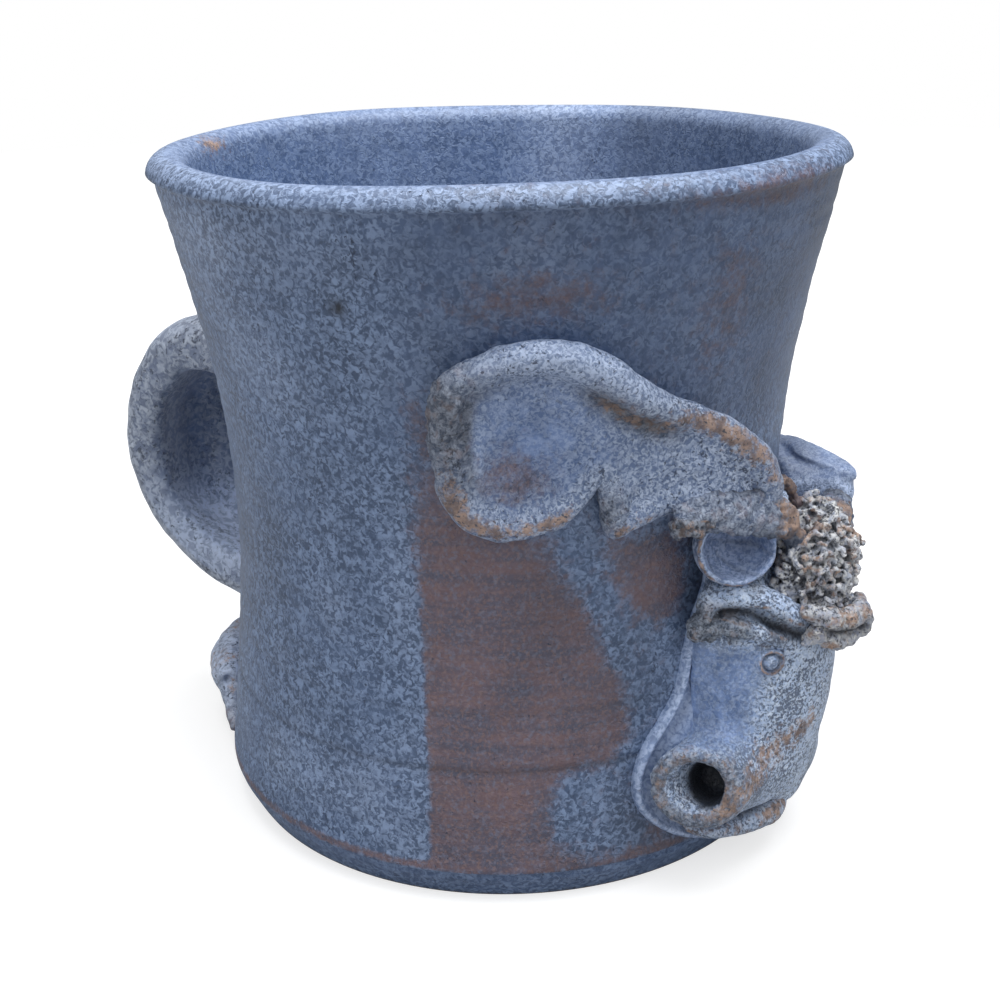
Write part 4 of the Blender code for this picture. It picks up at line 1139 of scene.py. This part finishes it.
def ear(side, label):
    points, squares = skin(ear_field, (5.5, 11, 37.5), (28, 29, 54), 0.3)
    a, u, w = points.T
    flap, nub, hollow = ear_parts(a, u, w)
    flap = flap < 0.5
    nub = ((nub < 0.5) & ~flap) | ((a > 22.4) & (u < 22.9))
    bowl = (step_up(0.7, 0.2, np.abs(hollow))) * ~flap * ~nub
    shift = points - EAR_MIDDLE
    rim = hill(shift @ EAR_OPENING - EAR_MOUTH + 0.3, 0.7) * (1 - bowl) * ~flap
    around = np.arctan2(shift[:, 1], shift[:, 0])
    cracks = step_up(0.7, 1.0, np.cos(6 * around + 2.5 * grain(points, 5, 75))) * bowl
    # Painted shade deep in the bowl, under its folded top, where the bowl is also less pale
    deep = bowl * hill(np.hypot(np.hypot(a - 10.0, u - 19.6), w - 46.5), 4.5)
    tanned = flap * step_up(16.5, 11.0, a) * step_up(26.5, 24.5, u) * step_up(19.5, 21.0, u)
    # Painted shade where the folded top tucks in behind and over the bowl
    tucked = flap * np.maximum(step_up(25.6, 26.8, u), 0.8 * step_up(21.6, 20.4, u))
    bump = 0.12 * grain(points, 1.6, 71) - 0.1 * cracks
    for where, height, size, seed in ((nub, 0.55, 1.2, 72), (tanned, 0.22, 0.9, 73), (flap, 0.45, 1.3, 74)):
        bump = bump + height * where * crumble(points, size, seed)
    points = roughened(points, squares, bump)
    x, y = hung(side, points[:, 0], points[:, 1])
    make(
        "ear_leaf_" + label, "ear_" + label, mottled, at_head(x, y, points[:, 2]), squares,
        smooth=bowl, crest=0.9 * bowl * (1 - 0.7 * deep), crumb=0.8 * nub + 0.35 * tanned + 0.5 * flap,
        wear=0.7 * tanned + 0.75 * rim + 0.4 * nub, shade=0.2 * deep + 0.25 * cracks + 0.6 * tucked,
    )


# Across, up, the rolled rim's radius, how torn it is, how bare it is
ANTLER_EDGE = [
    (57, 30, 1.9, 1, 0.1), (57.3, 34.1, 1.9, 1, 0), (56.8, 37.4, 1.8, 0.9, 0.1),
    (55.2, 38.9, 1.7, 0.6, 0.1), (53.3, 40.5, 1.7, 0.3, 0), (50.9, 42.2, 1.7, 0.1, 0),
    (47.9, 43.7, 1.8, 0, 0), (44.8, 44.3, 1.9, 0, 0), (41.3, 43.9, 2, 0, 0), (37.5, 42.8, 2.1, 0, 0),
    (34.6, 41.1, 2, 0, 0.1), (31.1, 39.4, 1.9, 0, 0.2), (27.8, 38.2, 1.7, 0, 0.5),
    (24.6, 37.5, 1.5, 0, 0.9), (20.7, 36.3, 1.5, 0, 1), (17.2, 34.3, 1.5, 0.1, 0.9),
    (13.7, 31.6, 1.6, 0.1, 0.7), (11.2, 28.6, 1.7, 0.2, 0.5), (10.6, 26.5, 1.7, 0.2, 0.3),
    (11.5, 24.7, 1.5, 0.1, 0.1), (14.5, 23.3, 1.3, 0, 0), (18.6, 23.5, 1.2, 0, 0), (23, 23.4, 1.1, 0, 0.1),
    (27.8, 21.3, 1.1, 0, 0.5), (30.6, 19.6, 1.2, 0, 0.8), (31.8, 19.3, 1.2, 0, 1),
    (32.6, 19.8, 1.3, 0.2, 0.8), (33.5, 21.8, 1.4, 0.3, 0), (34.5, 24.5, 1.3, 0.2, 0),
    (34.9, 26.2, 0.9, 0, 0), (35.3, 26.2, 0.9, 0, 0), (36, 24.7, 0.9, 0, 0.1), (37.5, 22.2, 1, 0, 0.7),
    (39, 20.2, 1.1, 0, 0.9), (41.4, 18.9, 1.2, 0, 0.8), (44.9, 17.4, 1.3, 0, 0.7),
    (47.4, 17.2, 1.4, 0, 0.8), (50.7, 17.9, 1.5, 0.1, 1), (52.9, 19.6, 1.6, 0.2, 1),
    (54.4, 21.7, 1.7, 0.4, 0.9), (55.6, 24.9, 1.9, 0.7, 0.5), (56.7, 28.2, 1.9, 0.9, 0.2),
]
antler_edge = flowing(ANTLER_EDGE)
# Across, the middle of the slab's height, its half height
antler_middle = lookup([
    (10, 27, 1), (14.6, 27.7, 3), (19, 30.1, 5.3), (22.8, 30, 7), (27.9, 29.4, 8.9), (34.6, 30.5, 11.1),
    (40.3, 32, 12.4), (44.9, 31.3, 13.2), (48.9, 30.4, 12.7), (52.8, 30, 10.6), (56, 30.6, 6.4),
    (57.2, 30.9, 1.6),
])
ANTLER_PALM = 1.8
LEFT_SQUASH = 1.8


def antler_lift(side, across, up):
    """How far the slab's back stands off the wall."""
    if side > 0:
        lands, most = 27.0, 4.6
    else:
        middle, half = antler_middle(across)
        t = np.clip((up - middle) / half, -1, 1)
        lands, most = 42.0, 8.8 * (1 - 0.9 * ((t + 1) / 2) ** 3 - 0.2 * ((1 - t) / 2) ** 3)
    return SEAM + most * step_up(lands, ANTLER_ROOT[0], across)


def antler_fold(across, up, width):
    """1 along the fold that runs down the palm near its tip."""
    return hill(across - (50.4 + 0.24 * (up - 26)), width) * step_up(33, 28.5, up)


def antler(side, label):
    far = side < 0

    def field(a, u, w):
        across, up = a[:, :, 0], u[:, :, 0]
        edge, rest = along(antler_edge, across, up)
        under = antler_lift(side, across, up)
        root = step_up(34, 24, across) if far else 0.0 * across
        top = under + ANTLER_PALM + 1.1 * blot(across, up, 22, 29.5, 9, 5)
        top = top - 0.7 * blot(across, up, 43.5, 28, 6, 7)
        # The far antler's root end is one full leaf, creased along its middle, with no hollow inside its rim
        leaf = 0.5 + 1.2 * blot(across, up, 18, 27.8, 8, 4.2)
        leaf = leaf + 0.1 * hill(up - 25.2, 1.8) - 0.25 * hill(up - 27.6 + 0.15 * (across - 18), 0.7)
        top = top + root * leaf + 1.1 * antler_fold(across, up, 0.75) * step_up(19.5, 23, up)
        radius = rest[0] * 1.08 * (1 + 0.45 * root)
        edge, radius, under, top, root = (v[..., None] for v in (edge, radius, under, top, root))
        # The far antler's root end is closed down to the wall, rounded off, its side pressed in
        floor = under * (1 - root)
        pressed = 0.8 * root * hill((w - top * 0.45) / (top * 0.5), 1.0)
        slab = cut(cut(w - top, floor - 0.5 - w, 0.4), edge + 0.4 + pressed, 1.0)
        rim = np.hypot(edge + radius, (w - under - radius - 0.35) * 0.92) - radius
        both = joined(slab, rim, 3.2 if far else 2.2)
        return cut(both, 15.8 - a, 4.5) if far else both

    points, squares = skin(field, (7.5, 14.5, -1.5), (59.5, 46.8, 16.5), 0.36)
    a, u, w = points.T
    edge, (radius, torn, bare) = along(antler_edge, a, u)
    near = hill(edge + radius, radius * 1.25)
    torn = torn * hill(np.maximum(-edge - 4.4, 0), 0.6)
    # The glaze pooled in fine puckers below the upper rim
    pucker = hill(edge + 2.1 * radius + 0.5, 1.4) * step_up(24, 31, a) * step_up(43, 37, a) * (u > 32)
    bump = 0.16 * grain(points, 2.4, 81) + 0.09 * grain(points, 1.0, 82)
    bump = bump + 0.5 * torn * crumble(points, 1.5, 83) + 0.26 * pucker * crumble(points, 1.1, 84)
    points = roughened(points, squares, bump)
    basin = step_up(0.0, -1.5, edge + 2 * radius)
    smooth = blot(a, u, 44, 31, 12, 10) * basin
    # Painted highlight along the lit upper rim
    upper = near * step_up(36, 40, u) * step_up(26, 36, a)
    prong = blot(a, u, 33.9, 22.5, 1.6, 3.52)
    wear = np.clip(0.85 * bare * near + 0.55 * pucker, 0, 1)
    crest = 0.15 + 0.55 * upper * (1 - torn) + 0.35 * antler_fold(a, u, 0.9) * step_up(20, 23, u)
    shade = 0.22 * torn + 0.35 * pucker
    up = points[:, 1]
    if far:
        root = step_up(32, 22, a)
        lobe = root * step_up(28.2, 27.0, u + 0.15 * (a - 18))
        smooth = np.maximum(smooth, 0.8 * root * (1 - lobe))
        wear = wear * 0.1
        crest = 0.5 * root + 0.5 * lobe
        # Painted shade on the root end, near the wall
        shade = shade + 0.3 * root * step_up(8.0, 4.0, w) * step_up(27, 30, u)
        up = up - LEFT_SQUASH * step_up(27.5, 36, up)
    x, y = hung(side, points[:, 0], up)
    make(
        "antler_slab_" + label, "antler_" + label, mottled, on_wall(x, y, points[:, 2]), squares,
        smooth=smooth, rust=0.62 * blot(a, u, 46.0, 25.5, 7.5, 6.0) * basin, wear=wear,
        crumb=0.8 * torn + pucker + 0.6 * prong, crest=crest, shade=shade,
    )


# Forelock

TANGLE_STRANDS = 360
TANGLE_CENTRE = np.array([0.9, 15.9, 51.3])
TANGLE_SIZE = np.array([7.8, 9.6, 5.8])
# The solid core's share of its size
TANGLE_CORE = 0.86
# The lump is flatter towards its upper far corner
TANGLE_CORNER = np.array([-0.35, 0.87, 0.34]) / 0.78
CRESCENT = [
    (10.4, 24, 49, 0.5), (12, 25.6, 49, 0.65), (11.2, 27.2, 48.8, 0.75), (8.6, 27.4, 48.6, 0.8),
    (6, 26.2, 48.6, 0.75), (5, 24.2, 49.2, 0.6),
]
CURL_KNOTS = 8


def curled(rng, middle, size, radius, thickness, turns):
    """One short strand curled up on itself near a place."""
    facing = rng.normal(size=3)
    facing /= np.linalg.norm(facing)
    side = np.cross(facing, rng.normal(size=3))
    side /= np.linalg.norm(side)
    other = np.cross(facing, side)
    start = rng.uniform(0, 2 * math.pi)
    line = []
    for k in range(CURL_KNOTS):
        t = k / (CURL_KNOTS - 1)
        angle = start + turns * 2 * math.pi * t
        r = radius * (0.75 + 0.35 * math.sin(3 * t + start))
        spot = middle + (side * math.cos(angle) + other * math.sin(angle)) * r + facing * size * (t - 0.5)
        line.append((*spot, thickness * (0.85 + 0.3 * math.sin(7 * t + start))))
    return line


def tangle_reach(x, y, z):
    """How far out of the lump's middle places are, with its skin at 1."""
    corner = x * TANGLE_CORNER[0] + y * TANGLE_CORNER[1] + z * TANGLE_CORNER[2]
    return np.maximum(np.sqrt(x * x + y * y + z * z), corner)


def tangle():
    rng = np.random.default_rng(7)
    strands = []
    golden = math.pi * (3 - math.sqrt(5))
    for k in range(TANGLE_STRANDS):
        height = 1 - 2 * (k + 0.5) / TANGLE_STRANDS
        flat = math.sqrt(1 - height * height)
        direction = np.array([flat * math.cos(golden * k), height, flat * math.sin(golden * k)])
        # None at the back, against the head
        if direction[2] < -0.45:
            continue
        reach = rng.uniform(TANGLE_CORE, 1.0) / max(1.0, direction @ TANGLE_CORNER)
        middle = TANGLE_CENTRE + TANGLE_SIZE * direction * reach
        size, radius, thickness = rng.uniform(0.4, 1.3), rng.uniform(0.6, 1.1), rng.uniform(0.34, 0.5)
        strands.append(curled(rng, middle, size, radius, thickness, rng.uniform(0.5, 0.95)))
    crescent = smooth_line(CRESCENT)
    strands.append(crescent)

    def field(a, u, w):
        place = ((v - c) / s for v, c, s in zip((a, u, w), TANGLE_CENTRE, TANGLE_SIZE * TANGLE_CORE))
        core = (tangle_reach(*place) - 1) * TANGLE_SIZE.min() * TANGLE_CORE
        return joined(coils(a, u, w, strands, 0.4), core, 0.5)

    points, squares = skin(field, (-10.5, 3, 42), (14.5, 30, 60), 0.24)
    red = step_up(0.7, 0.3, coil(*points.T, crescent))
    points = roughened(points, squares, 0.34 * crumble(points, 0.8, 91))
    reach = tangle_reach(*((points - TANGLE_CENTRE) / TANGLE_SIZE).T)
    # Deep in the lump, between the strands: dark crumbs and painted shade
    deep = step_up(1.0, TANGLE_CORE, reach) * (1 - red)
    make(
        "forelock_strands", "forelock_tangle", cream, at_head(*points.T), squares,
        crumb=0.1 + 0.35 * deep, shade=0.5 * deep + 0.25 * red, rust=red,
        wear=0.44 + 0.42 * grain(points, 2.0, 92) - 0.5 * deep,
    )


UPPER_CURL = [
    (8.6, 10.6, 55.2, 1.2), (6, 9.6, 56.8, 1.5), (2.5, 9.4, 58, 1.6), (-2, 9.8, 58, 1.4),
    (-5, 10.5, 56.5, 1.1),
]
LOWER_CURL = [(7.4, 7.6, 55.6, 1.1), (4.0, 6.4, 57.0, 1.3), (0.5, 6.2, 57.6, 1.3), (-4.0, 7.0, 57.0, 1.1)]
RING_STEPS = 10
CURL_STRANDS = 26


def forelock_curl():
    """Two thick strands that hang over the forehead, a ring between them and short curled ones over both."""
    rng = np.random.default_rng(11)
    strands = [smooth_line(UPPER_CURL), smooth_line(LOWER_CURL)]
    ring = []
    for k in range(RING_STEPS + 1):
        t = math.radians(-40 + 300 * k / RING_STEPS)
        ring.append((-2.6 + 0.5 * math.sin(t), 8.6 + 2.1 * math.cos(t), 57.6 + 1.7 * math.sin(t), 0.75))
    strands.append(ring)
    for k in range(CURL_STRANDS):
        middle = np.array([rng.uniform(-6.5, 8.0), rng.uniform(6.2, 11.0), rng.uniform(54.6, 57.6)])
        size, radius, thickness = rng.uniform(0.5, 1.4), rng.uniform(0.7, 1.2), rng.uniform(0.4, 0.55)
        strands.append(curled(rng, middle, size, radius, thickness, 0.6))

    def field(a, u, w):
        return coils(a, u, w, strands, 0.25)

    points, squares = skin(field, (-10.5, 2.5, 50), (12, 14.5, 62.5), 0.27)
    points = roughened(points, squares, 0.26 * crumble(points, 0.8, 93))
    a, u, _ = points.T
    # Painted shade in the gap between the two thick strands
    make(
        "forelock_roll", "forelock_curl", cream, at_head(*points.T), squares, crumb=0.25,
        wear=0.42 + 0.4 * grain(points, 2.0, 94) + 0.12 * hill(u - 10.6, 1.0),
        shade=0.9 * hill(u - 8.0, 0.7) * step_up(-3.5, -0.5, a) * step_up(8.0, 5.0, a),
    )


cup()
handle()
scroll()
plaque()
head()
jaw()
for side, label in ((1, "right"), (-1, "left")):
    brow(side, label)
    eye(side, label)
    ear(side, label)
    antler(side, label)
tangle()
forelock_curl()


# Stage, light and camera

WHITE = (1.0, 1.0, 1.0, 1.0)
STAGE_RADIUS = 0.9
STAGE_CORNERS = 96
# How brightly the floor shines for the camera only, and how much light comes from level with it
STAGE_GLOW = 0.66
LEVEL_LIGHT = 0.15
# Place as the photograph faces it, width, power
LAMPS = [((0.1, 0.0, 0.75), 0.6, 6.0), ((0.6, -0.5, 0.5), 0.5, 1.2), ((-0.6, -0.6, 0.4), 0.5, 1.2)]
LAMP_COLOUR = (0.96, 0.98, 1.0)
LAMP_AIM = (0.0, 0.0, 0.05)
# The photograph's lens in widths of the picture, its camera's place, its yaw, pitch and roll
FOCAL_LENGTH = 1.4257
CAMERA_PLACE = (0.0, -0.21112, 0.12340)
CAMERA_TURNS = (-0.27, 20.90, -1.45)
SENSOR_WIDTH = 36
photo_side = Matrix.Rotation(math.radians(-PHOTO_TURN), 3, "Z")


def stage():
    """A plain white floor that keeps the mug's shadow, and plain soft light, strongest from above."""
    material, tree, shader = new_material("studio_floor")
    here = add_node(tree, "TexCoord", out="Object")
    cloud = add_node(tree, "TexNoise", {"Vector": here, "Scale": 1 / (300 * MM), "Detail": 1.0})
    grey = add_node(tree, "Mix", {0: cloud, 6: paint("a8a8a8"), 7: paint("aeaeae")}, out=2, data_type="RGBA")
    seen = add_node(tree, "LightPath", out="Is Camera Ray")
    glow = add_node(tree, "Math", (seen, STAGE_GLOW), operation="MULTIPLY")
    plug(tree, shader, {"Base Color": grey, "Roughness": 0.9})
    plug(tree, shader, {"Emission Color": WHITE, "Emission Strength": glow})
    mesh = bpy.data.meshes.new("studio_floor")
    turns = [2 * math.pi * k / STAGE_CORNERS for k in range(STAGE_CORNERS)]
    corners = [(STAGE_RADIUS * math.cos(t), STAGE_RADIUS * math.sin(t), 0.0) for t in turns]
    mesh.from_pydata(corners, [], [list(range(STAGE_CORNERS))])
    mesh.materials.append(material)
    floor = bpy.data.objects.new("studio_floor", mesh)
    bpy.context.scene.collection.objects.link(floor)

    world = bpy.data.worlds.new("studio")
    bpy.context.scene.world = world
    world.use_nodes = True
    tree = world.node_tree
    level = add_node(tree, "SeparateXYZ", (add_node(tree, "TexCoord", out="Generated"),), out="Z")
    sky = add_node(tree, "MapRange", {"Value": level, "To Min": LEVEL_LIGHT})
    seen = add_node(tree, "LightPath", out="Is Camera Ray")
    strength = add_node(tree, "Mix", {0: seen, 2: sky, 3: 1.0})
    plug(tree, tree.nodes["Background"], {"Color": WHITE, "Strength": strength})

    for k, (place, size, power) in enumerate(LAMPS):
        light = bpy.data.lights.new(f"soft_lamp_{k}", "AREA")
        light.energy = power
        light.size = size
        light.color = LAMP_COLOUR
        lamp = bpy.data.objects.new(f"soft_lamp_{k}", light)
        bpy.context.scene.collection.objects.link(lamp)
        lamp.location = photo_side @ Vector(place)
        lamp.rotation_euler = (Vector(LAMP_AIM) - lamp.location).to_track_quat("-Z", "Y").to_euler()


def camera():
    """The photograph's camera: its lens, place and turn."""
    yaw, pitch, roll = (math.radians(v) for v in CAMERA_TURNS)
    ahead = Vector((math.sin(yaw) * math.cos(pitch), math.cos(yaw) * math.cos(pitch), -math.sin(pitch)))
    level = Vector((math.cos(yaw), -math.sin(yaw), 0))
    above = level.cross(ahead)
    right = level * math.cos(roll) + above * math.sin(roll)
    up = -level * math.sin(roll) + above * math.cos(roll)
    made = bpy.data.objects.new("photo_camera", bpy.data.cameras.new("photo_camera"))
    bpy.context.scene.collection.objects.link(made)
    facing = photo_side @ Matrix((right, up, -ahead)).transposed()
    made.matrix_world = Matrix.Translation(photo_side @ Vector(CAMERA_PLACE)) @ facing.to_4x4()
    made.data.sensor_width = SENSOR_WIDTH
    made.data.lens = FOCAL_LENGTH * SENSOR_WIDTH
    made.data.clip_start = 0.01
    bpy.context.scene.camera = made


stage()
camera()
bpy.context.scene.view_settings.view_transform = "Standard"
